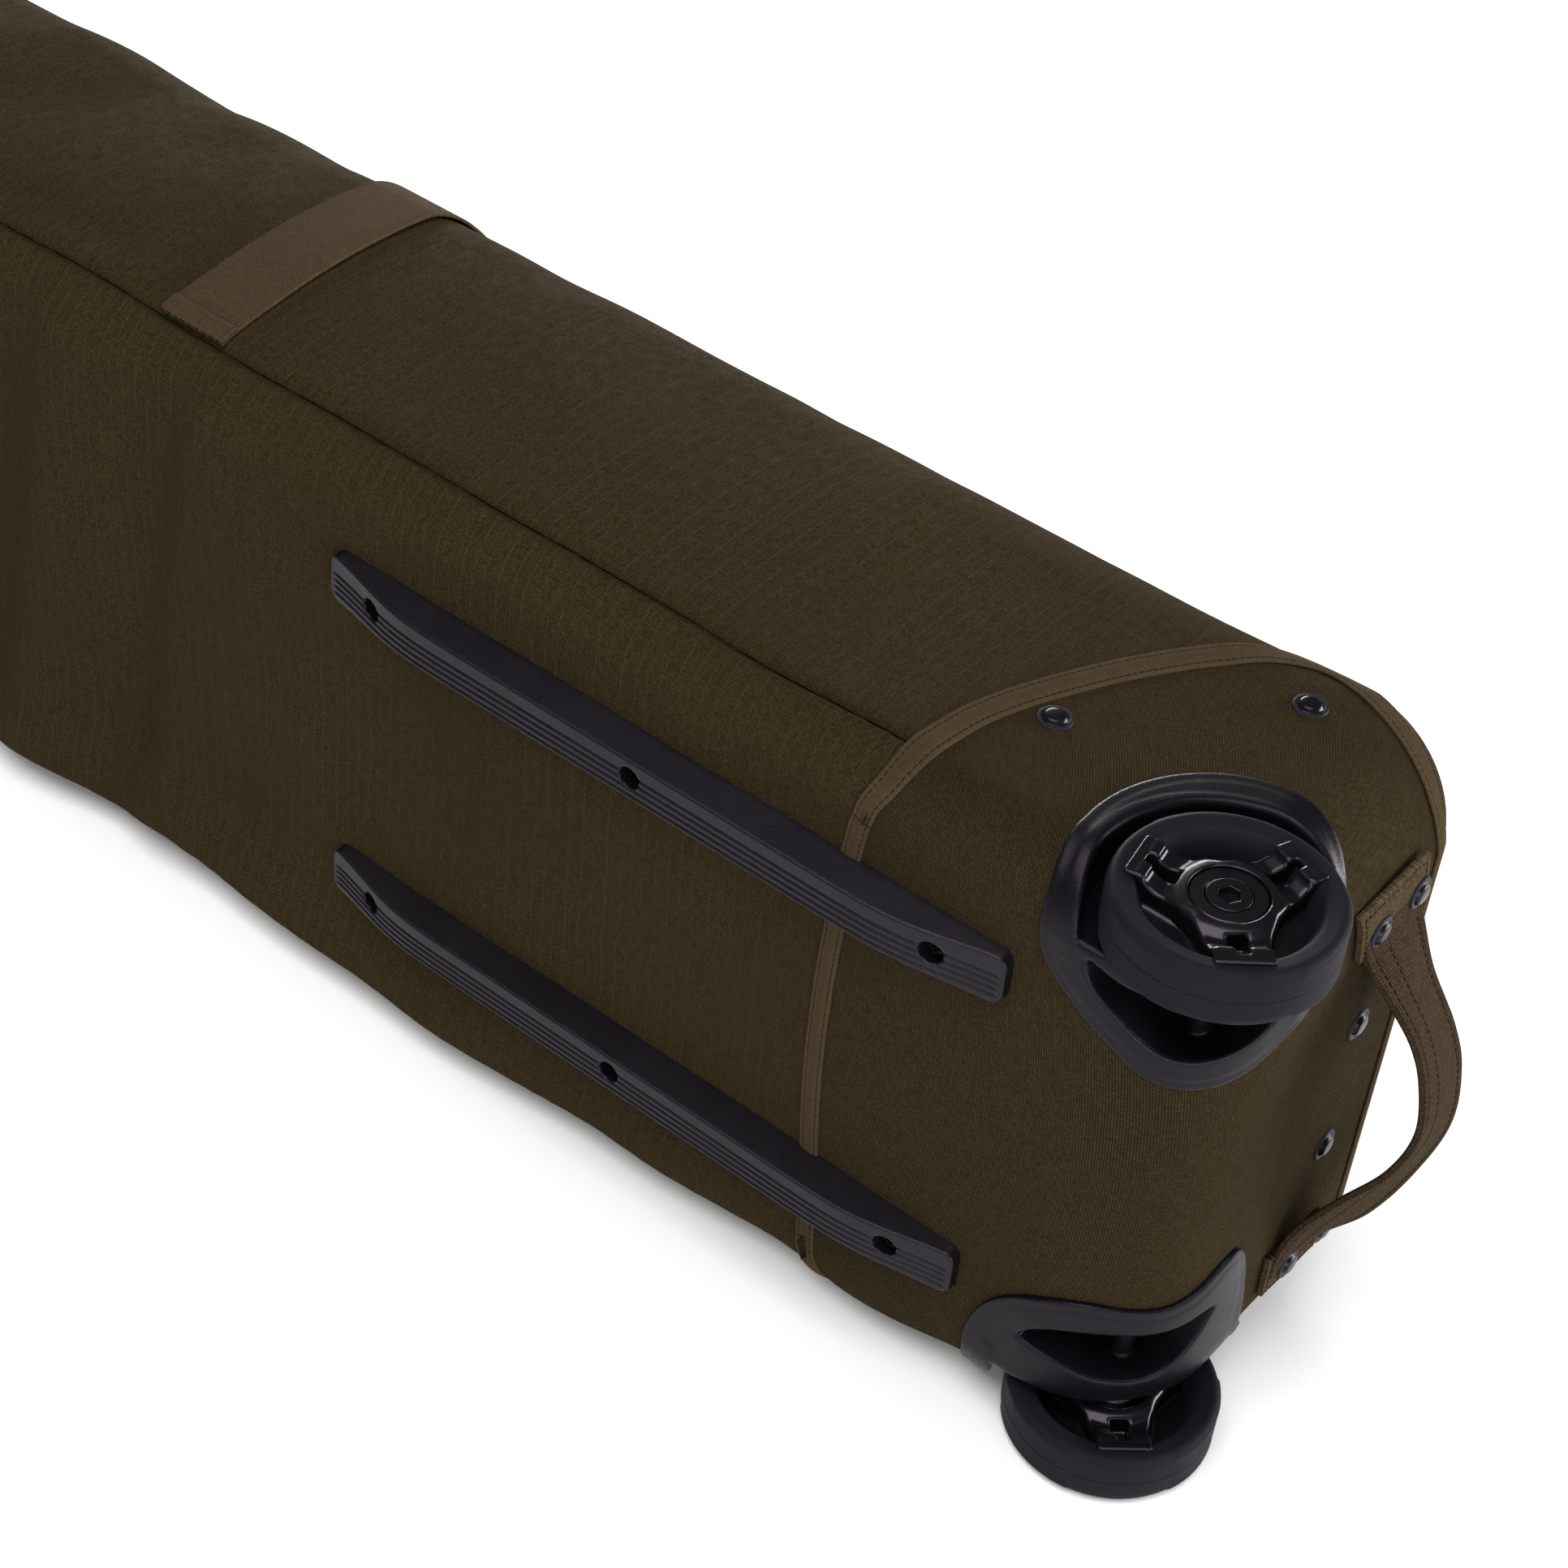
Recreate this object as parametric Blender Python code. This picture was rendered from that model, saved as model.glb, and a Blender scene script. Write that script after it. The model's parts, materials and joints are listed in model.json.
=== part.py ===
"""Wheeled ski bag lying on its side.

Row frame, metres: +X runs to the wheel end, -Y is the underside with the skid
rails, +Y is the side with the zipped lid, +Z is up along the wheel axle.
Everything is drawn in millimetres from the wheel axle (X = Y = 0) and the
bag's mid-plane (Z = 0), then hung from one empty that carries it to the row
frame.
"""
import math

import bpy
import bmesh
from mathutils import Matrix, Vector

MM = 0.001
GAP = 0.3                 # clearance between touching pieces

# ---- driving dimensions, millimetres --------------------------------------
TIP_X = -1740.0           # outside of the tip end
END_X = 26.0              # outside of the wheel end
UNDER_Y = -31.0           # outside of the underside
LID_Y = 172.0             # outside of the zipped side
TOP_FILLET = 54.0         # rounding zipped side to wheel end
HALF_W = 146.0            # half width of the bag
LOWER_W = 150.4           # the lower side sags to here
R_NEAR = 28.0             # rounding underside to sides
R_FAR = 55.0              # rounding zipped side to sides
R_FAR_END = 42.0          # the same, at the wheel end
R_END = 42.0              # rounding end face to sides
R_TIP = 32.0              # rounding tip end to sides
FILLET = 60.0             # rounding underside to wheel end
TIP_FILLET = 40.0         # rounding underside to tip end
TIP_TOP_FILLET = 66.0     # rounding zipped side to tip end
WALL = 6.0                # padded wall

LID_HALF = 90.0           # half width of the lid
LID_X0, LID_X1 = -1672.0, -110.0
SEAM_Y = -19.0            # seam between base panel and side panels
TIP_SEAM_X = -1672.0

WHEEL_R = 45.0
WHEEL_FACE = 152.7        # outer face of each wheel
WHEEL_W = 27.0
WHEEL_Z = WHEEL_FACE - WHEEL_W / 2
TYRE_BORE = 33.0
BEARING_OD, BEARING_ID, BEARING_W = 22.0, 8.6, 7.0
AXLE_D = 8.0
WELL_R = 54.0
SHELF_Z = 119.0           # wheel side face of the housing floor
HOUSING_PROUD = 3.0

RAIL_X0, RAIL_X1 = -424.5, -65.5
RAIL_Z = 84.6
RAIL_TOP_Y = -47.5
RAIL_TOP_W, RAIL_BASE_W = 20.0, 26.0
RAIL_HOLES = (-394.0, -245.0, -96.0)

STRAP_X = (-533.0, -1190.0)
STRAP_W = 39.0
STRAP_T = 2.0
STRAP_Y = -10.0           # where the strap is caught in the seam

HANDLE_Y0, HANDLE_Y1 = 71.0, 113.0
HANDLE_PIVOT = (31.0, 92.0)
TIP_HANDLE_Y0, TIP_HANDLE_Y1 = 50.0, 92.0

ROW = Vector((857.0, -66.5, 152.7))   # design origin in the row frame

# ---- helpers ----------------------------------------------------------------
for old in list(bpy.data.objects):
    bpy.data.objects.remove(old, do_unlink=True)
for old in list(bpy.data.meshes):
    bpy.data.meshes.remove(old)

SCENE = bpy.context.scene


def material(name, colour, rough, metal=0.0):
    mat = bpy.data.materials.new(name)
    mat.use_nodes = True
    bsdf = mat.node_tree.nodes["Principled BSDF"]
    bsdf.inputs["Base Color"].default_value = (*colour, 1.0)
    bsdf.inputs["Roughness"].default_value = rough
    bsdf.inputs["Metallic"].default_value = metal
    mat.diffuse_color = (*colour, 1.0)
    return mat


FABRIC = material("fabric", (0.045, 0.035, 0.018), 0.9)
TAPE = material("tape", (0.10, 0.08, 0.05), 0.85)
WEB = material("webbing", (0.07, 0.055, 0.03), 0.85)
PLASTIC = material("moulding", (0.018, 0.018, 0.022), 0.45)
GLOSS = material("hub", (0.01, 0.01, 0.01), 0.15)
RUBBER = material("tyre", (0.014, 0.014, 0.015), 0.6)
STEEL = material("steel", (0.45, 0.45, 0.46), 0.3, 1.0)
DARK = material("gunmetal", (0.06, 0.06, 0.065), 0.3, 1.0)
BOARD = material("board", (0.05, 0.05, 0.05), 0.6)


def empty(name, at, parent=None):
    ob = bpy.data.objects.new(name, None)
    ob.location = Vector(at) * MM
    ob.parent = parent
    SCENE.collection.objects.link(ob)
    return ob


def mesh_object(name, verts, faces):
    me = bpy.data.meshes.new(name)
    me.from_pydata([Vector(v) * MM for v in verts], [], faces)
    bm = bmesh.new()
    bm.from_mesh(me)
    bmesh.ops.remove_doubles(bm, verts=bm.verts, dist=1e-6)
    bmesh.ops.recalc_face_normals(bm, faces=bm.faces)
    bm.to_mesh(me)
    bm.free()
    ob = bpy.data.objects.new(name, me)
    SCENE.collection.objects.link(ob)
    return ob


def drop(*obs):
    for ob in obs:
        me = ob.data
        bpy.data.objects.remove(ob, do_unlink=True)
        if me.users == 0:
            bpy.data.meshes.remove(me)


def boolean(ob, other, op, keep=False):
    mod = ob.modifiers.new("cut", "BOOLEAN")
    mod.operation = op
    mod.object = other
    mod.solver = "EXACT"
    bpy.context.view_layer.update()
    shape = bpy.data.meshes.new_from_object(
        ob.evaluated_get(bpy.context.evaluated_depsgraph_get()))
    ob.modifiers.clear()
    old = ob.data
    ob.data = shape
    bpy.data.meshes.remove(old)
    if not keep:
        drop(other)
    return ob


def cut(ob, other, keep=False):
    return boolean(ob, other, "DIFFERENCE", keep)


def join(ob, other, keep=False):
    return boolean(ob, other, "UNION", keep)


def meet(ob, other, keep=False):
    return boolean(ob, other, "INTERSECT", keep)


def copy(ob):
    new = bpy.data.objects.new(ob.name + "_copy", ob.data.copy())
    SCENE.collection.objects.link(new)
    return new


def tidy(ob):
    bm = bmesh.new()
    bm.from_mesh(ob.data)
    bmesh.ops.remove_doubles(bm, verts=bm.verts, dist=2e-6)
    bmesh.ops.dissolve_limit(bm, angle_limit=math.radians(0.5),
                             verts=bm.verts, edges=bm.edges)
    bmesh.ops.triangulate(bm, faces=bm.faces)
    bm.to_mesh(ob.data)
    bm.free()


def name(ob, label, mat, parent, at=(0, 0, 0), turn=None):
    ob.name = label
    ob.data.name = label
    ob.data.materials.clear()
    ob.data.materials.append(mat)
    ob.parent = parent
    ob.location = Vector(at) * MM
    if turn is not None:
        ob.rotation_euler = turn
    return ob


def box(lo, hi):
    (a, b, c), (d, e, f) = lo, hi
    v = [(a, b, c), (d, b, c), (d, e, c), (a, e, c),
         (a, b, f), (d, b, f), (d, e, f), (a, e, f)]
    return mesh_object("box", v, [(0, 3, 2, 1), (4, 5, 6, 7), (0, 1, 5, 4),
                                  (1, 2, 6, 5), (2, 3, 7, 6), (3, 0, 4, 7)])


def prism(points, z0, z1):
    n = len(points)
    v = [(x, y, z0) for x, y in points] + [(x, y, z1) for x, y in points]
    f = [tuple(range(n - 1, -1, -1)), tuple(range(n, 2 * n))]
    f += [(i, (i + 1) % n, n + (i + 1) % n, n + i) for i in range(n)]
    return mesh_object("prism", v, f)


def loft(rings):
    n = len(rings[0])
    v = [p for ring in rings for p in ring]
    f = [tuple(range(n - 1, -1, -1)),
         tuple(range((len(rings) - 1) * n, len(rings) * n))]
    for k in range(len(rings) - 1):
        for i in range(n):
            j = (i + 1) % n
            f.append((k * n + i, k * n + j, (k + 1) * n + j, (k + 1) * n + i))
    return mesh_object("loft", v, f)


def turned(profile, segments, closed=False):
    """Solid of revolution about Z from (r, z) points; closed for a ring."""
    rows = len(profile)
    v, f = [], []
    for k in range(segments):
        a = 2 * math.pi * k / segments
        v += [(r * math.cos(a), r * math.sin(a), z) for r, z in profile]
    last = rows if closed else rows - 1
    for k in range(segments):
        m = (k + 1) % segments
        for i in range(last):
            j = (i + 1) % rows
            f.append((k * rows + i, m * rows + i, m * rows + j, k * rows + j))
    if not closed:
        f.append(tuple(k * rows for k in range(segments)))
        f.append(tuple(k * rows + rows - 1 for k in range(segments)))
    return mesh_object("turned", v, f)


def cylinder(r, z0, z1, segments=24, at=(0.0, 0.0)):
    pts = [(at[0] + r * math.cos(2 * math.pi * k / segments),
            at[1] + r * math.sin(2 * math.pi * k / segments))
           for k in range(segments)]
    return prism(pts, z0, z1)


def shape_along(ob, turn, at):
    """Turn a drawn solid and set it down, in its own mesh."""
    ob.data.transform(Matrix.Translation(Vector(at) * MM) @ turn.to_4x4())
    return ob


def mirrored(ob):
    new = copy(ob)
    new.data.transform(Matrix.Diagonal((1, 1, -1, 1)))
    new.data.flip_normals()
    return new


# ---- bag hull -----------------------------------------------------------------
def hull(off=0.0, lower=HALF_W, reach=0.0, layers=5):
    """Closed outer form of the bag, offset outwards by off millimetres."""
    pts = []                                  # x, y, nx, ny (inward), radius

    def add(x, y, nx, ny, r):
        pts.append((x - nx * off, y - ny * off, nx, ny, max(r + off, 4.0)))

    for k in range(5):                        # tip, underside corner
        a = math.radians(180 + 90 * k / 4)
        c, s = math.cos(a), math.sin(a)
        w = k / 4
        add(TIP_X + TIP_FILLET + TIP_FILLET * c,
            UNDER_Y + TIP_FILLET + TIP_FILLET * s, -c, -s,
            R_TIP * (1 - w) + R_NEAR * w)
    steps = 8
    for k in range(steps + 1):                # underside to wheel end
        a = math.radians(-90 + 90 * k / steps)
        c, s = math.cos(a), math.sin(a)
        w = k / steps
        add(END_X - FILLET + FILLET * c, UNDER_Y + FILLET + FILLET * s,
            -c, -s, R_NEAR * (1 - w) + R_END * w)
    steps = 6
    for k in range(steps + 1):                # wheel end to zipped side
        a = math.radians(90 * k / steps)
        c, s = math.cos(a), math.sin(a)
        w = k / steps
        add(END_X - TOP_FILLET + TOP_FILLET * c,
            LID_Y - TOP_FILLET + TOP_FILLET * s, -c, -s,
            R_END * (1 - w) + R_FAR_END * w)
    add(-160.0, LID_Y, 0.0, -1.0, R_FAR)
    for k in range(5):                        # zipped side to tip
        a = math.radians(90 + 90 * k / 4)
        c, s = math.cos(a), math.sin(a)
        w = k / 4
        add(TIP_X + TIP_TOP_FILLET + TIP_TOP_FILLET * c,
            LID_Y - TIP_TOP_FILLET + TIP_TOP_FILLET * s, -c, -s,
            R_FAR * (1 - w) + R_TIP * w)
    rings = []
    for side, half in ((-1, lower + off), (1, HALF_W + off)):
        ring_set = []
        for k in range(layers + 1):
            t = math.pi / 2 * k / layers
            ring = []
            for x, y, nx, ny, r in pts:
                d = r * (1 - math.cos(t))
                ring.append((x + nx * d, y + ny * d,
                             side * (half - r + r * math.sin(t))))
            ring_set.append(ring)
        rings += ring_set[::-1] if side < 0 else ring_set
    return loft(rings)


def shell(outer, inner, lower=HALF_W):
    ob = hull(outer, lower)
    return cut(ob, hull(inner, lower))


# side view line between the body and the wheel end cap
CAP_LINE = [(-145.0, -90.0), (-145.0, -31.0), (-138.5, -6.0), (-137.0, 14.0),
            (-131.0, 52.0), (-118.0, 84.0), (-98.0, 112.0), (-73.0, 139.0),
            (-50.0, 149.0), (-32.0, 149.0), (-12.0, 141.5), (10.0, 133.5),
            (26.0, 130.0), (120.0, 126.0)]


def cap_region(shift):
    """Prism over the cap's side view, its edge moved by shift."""
    pts = []
    for i, (x, y) in enumerate(CAP_LINE):
        a = CAP_LINE[max(i - 1, 0)]
        b = CAP_LINE[min(i + 1, len(CAP_LINE) - 1)]
        d = Vector((b[0] - a[0], b[1] - a[1])).normalized()
        pts.append((x - d.y * shift, y + d.x * shift))
    pts.append((120.0 - 0.0, -90.0))
    return prism(pts, -220.0, 220.0)


root = empty("bag_frame", ROW)

# ---- soft panels ----------------------------------------------------------------
body = shell(0.0, -WALL, LOWER_W)
cut(body, cap_region(GAP))

HARDWARE_HOLES = []       # drilled through the panels for rivets and screws


def drill(r, turn, at, length=40.0, segments=8):
    ob = cylinder(r, -length / 2, length / 2, segments)
    return shape_along(ob, turn, at)


TO_X = Matrix.Rotation(math.radians(90), 3, "Y")       # local +Z onto +X
TO_MY = Matrix.Rotation(math.radians(90), 3, "X")      # local +Z onto -Y

base_panel = meet(copy(body), box((TIP_SEAM_X + GAP, -80, -200),
                                  (80, SEAM_Y - GAP / 2, 200)))
tip_panel = meet(copy(body), box((TIP_X - 50, -80, -200),
                                 (TIP_SEAM_X - GAP, 250, 200)))
lid = meet(copy(body), box((LID_X0 + GAP, 140, -LID_HALF + GAP),
                           (LID_X1 - GAP, 250, LID_HALF - GAP)))
yoke = meet(copy(body), box((LID_X1 + GAP, 60, -LID_HALF + GAP),
                            (120, 250, LID_HALF - GAP)))
side_upper = meet(copy(body), box((TIP_SEAM_X + GAP, SEAM_Y + GAP / 2, 20),
                                  (80, 250, 200)))
cut(side_upper, box((TIP_X - 50, 100, 0), (120, 250, LID_HALF)))
side_lower = meet(body, box((TIP_SEAM_X + GAP, SEAM_Y + GAP / 2, -200),
                            (80, 250, -20)))
cut(side_lower, box((TIP_X - 50, 100, -LID_HALF), (120, 250, 0)))

cap = shell(0.0, -WALL)
meet(cap, cap_region(-GAP))

# ---- wheel housings -----------------------------------------------------------
D45 = math.sqrt(0.5)


def wedge(shift):
    """Everything on the bag side of the 45 degree plane behind the axle."""
    n = Vector((-D45, D45))
    t = Vector((D45, D45))
    p = n * shift
    far = n * 300
    pts = [p - t * 300, p - t * 300 + far, p + t * 300 + far, p + t * 300]
    return [(q.x, q.y) for q in pts][::-1]


def housing_body(off, grow):
    ob = hull(off)
    meet(ob, cylinder(70.0 + grow, 50.0, 150.0 + grow, 40))
    meet(ob, box((-54.0 - grow, -100, 62.0 - grow), (100, 100, 200)))
    # sloping inboard edges, on the underside and on the end face
    cut(ob, loft([[(-120, -100, 40.0), (-120, -100, 152.0 - grow),
                   (-10.0 - grow, -100, 64.0 - grow), (-10.0 - grow, -100, 40.0)],
                  [(-120, 0.0, 40.0), (-120, 0.0, 152.0 - grow),
                   (-10.0 - grow, 0.0, 64.0 - grow), (-10.0 - grow, 0.0, 40.0)]]))
    cut(ob, loft([[(-6, 16.0 + grow, 40.0), (-6, 16.0 + grow, 62.0 - grow),
                   (-6, 90.0, 132.0 - grow), (-6, 90.0, 40.0)],
                  [(100, 16.0 + grow, 40.0), (100, 16.0 + grow, 62.0 - grow),
                   (100, 90.0, 132.0 - grow), (100, 90.0, 40.0)]]))
    return ob


housing = housing_body(HOUSING_PROUD, 0.0)
cut(housing, cylinder(WELL_R, SHELF_Z, 200.0, 40))
# open behind, towards the inside of the bag
cut(housing, prism(wedge(19.0), 40.0, SHELF_Z - 7.0))
# the crescent pocket across the rounded edge
pocket = prism(wedge(-300.0), 82.0, 106.0)
cut(pocket, prism(wedge(9.0), 60.0, 130.0))
meet(pocket, cylinder(44.0, 70.0, 120.0, 32, at=(16.0, -16.0)))
cut(housing, pocket)
cut(housing, cylinder(AXLE_D / 2 + GAP, 40.0, 140.0, 20))

for flip in (False, True):
    clear = housing_body(12.0, GAP)
    inner = housing_body(-40.0, GAP)
    drop(inner)
    if flip:
        new = mirrored(clear)
        drop(clear)
        clear = new
    cut(cap, clear)
    well = cylinder(WELL_R + GAP, SHELF_Z - 8.0, 200.0, 40)
    if flip:
        new = mirrored(well)
        drop(well)
        well = new
    cut(cap, well)

housing_low = mirrored(housing)

# ---- boards inside ---------------------------------------------------------------
base_board = box((TIP_SEAM_X + 12, UNDER_Y + WALL + GAP, -112),
                 (-66, UNDER_Y + WALL + GAP + 2.0, 112))
end_board = box((END_X - WALL - GAP - 2.0, 70, -103.5),
                (END_X - WALL - GAP, 115, 103.5))

# ---- rivets ------------------------------------------------------------------------
RIVETS = []               # label, head position on the panel, axis
for tag, s in (("upper", 1), ("lower", -1)):
    RIVETS.append((f"rivet_end_{tag}", (END_X, 91.5, 35.4 * s), "x", 0.0))
    RIVETS.append((f"rivet_handle_near_{tag}", (END_X, 79.0, 97.0 * s), "x", 3.0))
    RIVETS.append((f"rivet_handle_far_{tag}", (END_X, 108.0, 98.5 * s), "x", 3.0))
    RIVETS.append((f"rivet_shoulder_a_{tag}", (-107.0, 41.0, HALF_W * s), "z", 0.0))
    RIVETS.append((f"rivet_shoulder_b_{tag}", (-39.0, 119.5, HALF_W * s), "z", 0.0))

rivet_objects = []
for label, at, axis, lift in RIVETS:
    base = GAP + (lift + GAP if lift else 0.0)
    back = -(WALL + (2.0 + GAP if axis == "x" else 0.0) + GAP)
    ob = turned([(4.0, back - 1.4), (4.0, back), (1.8, back), (1.8, base),
                 (7.4, base), (7.0, base + 1.2), (4.6, base + 3.2)], 10)
    if axis == "x":
        turn = TO_X
    else:
        turn = Matrix.Identity(3) if at[2] > 0 else Matrix.Rotation(math.pi, 3, "X")
    hole = drill(2.0 + GAP, turn, at, 60.0)
    cut(cap, hole, keep=True)
    if axis == "x":
        cut(end_board, hole, keep=True)
    shape_along(ob, turn, (0, 0, 0))
    rivet_objects.append((ob, label, at, hole if lift else None))
    if not lift:
        drop(hole)

# ---- grab handles ---------------------------------------------------------------------
def tab(x0, x1, y0, y1, z0, z1):
    return box((x0, y0, z0), (x1, y1, z1))


def handle_loop(sign, x_face, y0, y1, reach):
    """Flat strap bowed out from the end face; one closed sweep."""
    steps = 14
    rings = []
    half = 84.0
    thick = 4.0
    for k in range(steps + 1):
        u = k / steps
        a = math.pi * u
        z = half * math.cos(a)
        x = 2.8 + (reach - 2.8) * math.sin(a) ** 0.8 if 0 < k < steps else 2.8
        dz = -half * math.sin(a)
        dx = (reach - 2.6) * 0.8 * math.cos(a) * max(math.sin(a), 0.12) ** -0.2
        t = Vector((dx, dz)).normalized()
        n = Vector((-t.y, t.x))
        # folded narrow where it leaves the tabs, so that it can swing clear
        pinch = 17.0 if k in (0, steps) else 5.0
        c0 = (x + n.x * thick / 2, z + n.y * thick / 2)
        c1 = (x - n.x * thick / 2, z - n.y * thick / 2)
        rings.append([(sign * c1[0], y0 + pinch, c1[1]),
                      (sign * c0[0], y0 + pinch, c0[1]),
                      (sign * c0[0], y1 - pinch, c0[1]),
                      (sign * c1[0], y1 - pinch, c1[1])])
    ob = loft(rings)
    return ob


tabs = {}
for tag, s in (("upper", 1), ("lower", -1)):
    z0, z1 = sorted((87.5 * s, 118.0 * s))
    tabs[f"grab_handle_tab_{tag}"] = tab(END_X + GAP, END_X + GAP + 3.0,
                                         HANDLE_Y0, HANDLE_Y1, z0, z1)
    z0, z1 = sorted((87.5 * s, 112.0 * s))
    tabs[f"tip_handle_tab_{tag}"] = tab(TIP_X - GAP - 3.0, TIP_X - GAP,
                                        TIP_HANDLE_Y0, TIP_HANDLE_Y1, z0, z1)
for ob, label, at, hole in rivet_objects:
    if hole is not None:
        tag = "upper" if at[2] > 0 else "lower"
        cut(tabs[f"grab_handle_tab_{tag}"], hole)

# ---- straps and binding ------------------------------------------------------------
straps = {}
for i, x in enumerate(STRAP_X):
    letter = "ab"[i]
    band = hull(GAP + STRAP_T, LOWER_W)
    low = copy(band)
    meet(band, box((x - STRAP_W / 2, STRAP_Y, LID_HALF + 6),
                   (x + STRAP_W / 2, 250, 220)))
    meet(low, box((x - STRAP_W / 2, STRAP_Y, -220),
                  (x + STRAP_W / 2, 250, -LID_HALF - 6)))
    cut(band, hull(GAP, LOWER_W))
    cut(low, hull(GAP, LOWER_W))
    straps[f"side_strap_{letter}_upper"] = band
    straps[f"side_strap_{letter}_lower"] = low

binding = hull(GAP + 1.5, LOWER_W)
meet(binding, cap_region(5.5))
cut(binding, cap_region(-5.5))
cut(binding, hull(GAP, LOWER_W))
# the skid rails bear on the base panel, so the tape is let in under them
for s in (1, -1):
    cut(binding, box((-200, -60, s * RAIL_Z - RAIL_BASE_W / 2 - 0.6),
                     (-100, -31.9, s * RAIL_Z + RAIL_BASE_W / 2 + 0.6)))

# ---- skid rails -----------------------------------------------------------------------
def rail():
    base_y = UNDER_Y - GAP - 0.1
    rings = []
    nose = 44.0
    for x, h, top, bot in ((RAIL_X0, 3.2, 22.0, 23.5),
                           (RAIL_X0 + 3, 5.0, 23.6, 26.0),
                           (RAIL_X0 + nose * 0.5, 12.2, 22.0, 26.0),
                           (RAIL_X0 + nose, base_y - RAIL_TOP_Y, RAIL_TOP_W, RAIL_BASE_W),
                           (RAIL_X1 - nose, base_y - RAIL_TOP_Y, RAIL_TOP_W, RAIL_BASE_W),
                           (RAIL_X1 - nose * 0.5, 12.2, 22.0, 26.0),
                           (RAIL_X1 - 3, 5.0, 23.6, 26.0),
                           (RAIL_X1, 3.2, 22.0, 23.5)):
        rings.append([(x, base_y, -bot / 2), (x, base_y - h, -top / 2),
                      (x, base_y - h, top / 2), (x, base_y, bot / 2)])
    return loft(rings)


rail_upper = rail()
# relief where the rail passes over the binding
cut(rail_upper, box((-151.0, -33.2, -40), (-135.0, -20, 40)))
for x in RAIL_HOLES:
    at = (x, 0, 0)
    cut(rail_upper, shape_along(cylinder(5.5, 36.0, 70.0, 16), TO_MY, at))
    cut(rail_upper, shape_along(cylinder(2.5 + GAP, 0.0, 70.0, 12), TO_MY, at))
rail_lower = copy(rail_upper)

screws = []
for tag, s in (("upper", 1), ("lower", -1)):
    for k, x in enumerate(RAIL_HOLES):
        hole = drill(2.5 + GAP, TO_MY, (x, UNDER_Y, s * RAIL_Z), 30.0)
        cut(base_panel, hole, keep=True)
        cut(base_board, hole, keep=True)
        cut(cap, hole)
        ob = turned([(5.0, 19.5), (5.0, 22.0), (2.5, 22.0), (2.5, 36.0 + GAP),
                     (4.8, 36.0 + GAP), (4.8, 38.4), (3.4, 39.4)], 10)
        shape_along(ob, TO_MY, (0, 0, 0))
        screws.append((ob, f"rail_screw_{tag}_{k + 1}", (x, 0, s * RAIL_Z)))

# ---- wheels ------------------------------------------------------------------------------
def tyre():
    h = WHEEL_W / 2
    pts = [(TYRE_BORE, -h + 4.0), (36.0, -h), (41.5, -h)]
    for k in range(1, 4):
        a = math.radians(-90 + 90 * k / 3)
        pts.append((41.5 + 3.5 * math.cos(a), -h + 6.0 + 6.0 * math.sin(a)))
    for k in range(3):
        a = math.radians(90 * k / 3)
        pts.append((41.5 + 3.5 * math.cos(a), h - 6.0 + 6.0 * math.sin(a)))
    pts += [(41.5, h), (36.0, h), (TYRE_BORE, h - 4.0)]
    return turned(pts, 32, closed=True)


def hub():
    h = WHEEL_W / 2
    bore = BEARING_OD / 2 + GAP
    ob = turned([(bore, -10.0), (15.0, -10.0), (15.0, 8.5), (bore, 8.5)], 24, True)
    rim = turned([(29.5, -8.5), (TYRE_BORE - GAP, -8.5), (TYRE_BORE - GAP, 8.5),
                  (29.5, 8.5)], 40, True)
    spokes = []
    for k in range(3):
        a = math.radians(90 + 120 * k)
        bar = box((13.0, -6.5, -8.0), (31.0, 6.5, 8.0))
        shape_along(bar, Matrix.Rotation(a, 3, "Z"), (0, 0, 0))
        spokes.append(bar)
    core = cylinder(bore, -30, 30, 24)
    for bar in spokes:
        cut(bar, core, keep=True)
        join(rim, bar)
    drop(core)
    join(ob, rim)
    return ob


def bearing():
    r0, r1, w = BEARING_ID / 2, BEARING_OD / 2, BEARING_W / 2
    return turned([(r0, -w), (r1, -w), (r1, w), (r0, w)], 20, True)


def axle_bolt():
    """Shank along +Z (outboard), head just inside the wheel face."""
    return turned([(6.5, -84.0), (6.5, -78.6), (AXLE_D / 2, -78.6),
                   (AXLE_D / 2, 11.4), (8.0, 11.4), (8.0, 12.4), (7.4, 13.0)], 18)


def washer():
    return turned([(AXLE_D / 2 + GAP, 8.9), (13.6, 8.9), (13.6, 10.4),
                   (12.6, 11.1), (AXLE_D / 2 + GAP, 11.1)], 24, True)


def spacer():
    return turned([(AXLE_D / 2 + GAP, SHELF_Z - WHEEL_Z + GAP), (7.0, SHELF_Z - WHEEL_Z + GAP),
                   (7.0, -9.1), (AXLE_D / 2 + GAP, -9.1)], 18, True)


# ---- zip ------------------------------------------------------------------------------------
def u_band(x0, x1, z_low, z_top, w, y0, y1):
    pts = [(x0, z_top), (x0, z_low), (x1, z_low), (x1, z_top),
           (x1 - w, z_top), (x1 - w, z_low + w), (x0 + w, z_low + w), (x0 + w, z_top)]
    n = len(pts)
    v = [(x, y0, z) for x, z in pts] + [(x, y1, z) for x, z in pts]
    f = [tuple(range(n)), tuple(range(2 * n - 1, n - 1, -1))]
    f += [(i, n + i, n + (i + 1) % n, (i + 1) % n) for i in range(n)]
    return mesh_object("band", v, f)


TEETH_W = 3.6
zip_bag = u_band(LID_X0 - TEETH_W, LID_X1 + TEETH_W, -LID_HALF - TEETH_W, LID_HALF - 8,
                 TEETH_W - GAP, LID_Y + GAP, LID_Y + 1.8)
zip_lid = u_band(LID_X0 + GAP, LID_X1 - GAP, -LID_HALF + GAP, LID_HALF - 8,
                 TEETH_W, LID_Y + GAP, LID_Y + 1.8)

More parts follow.
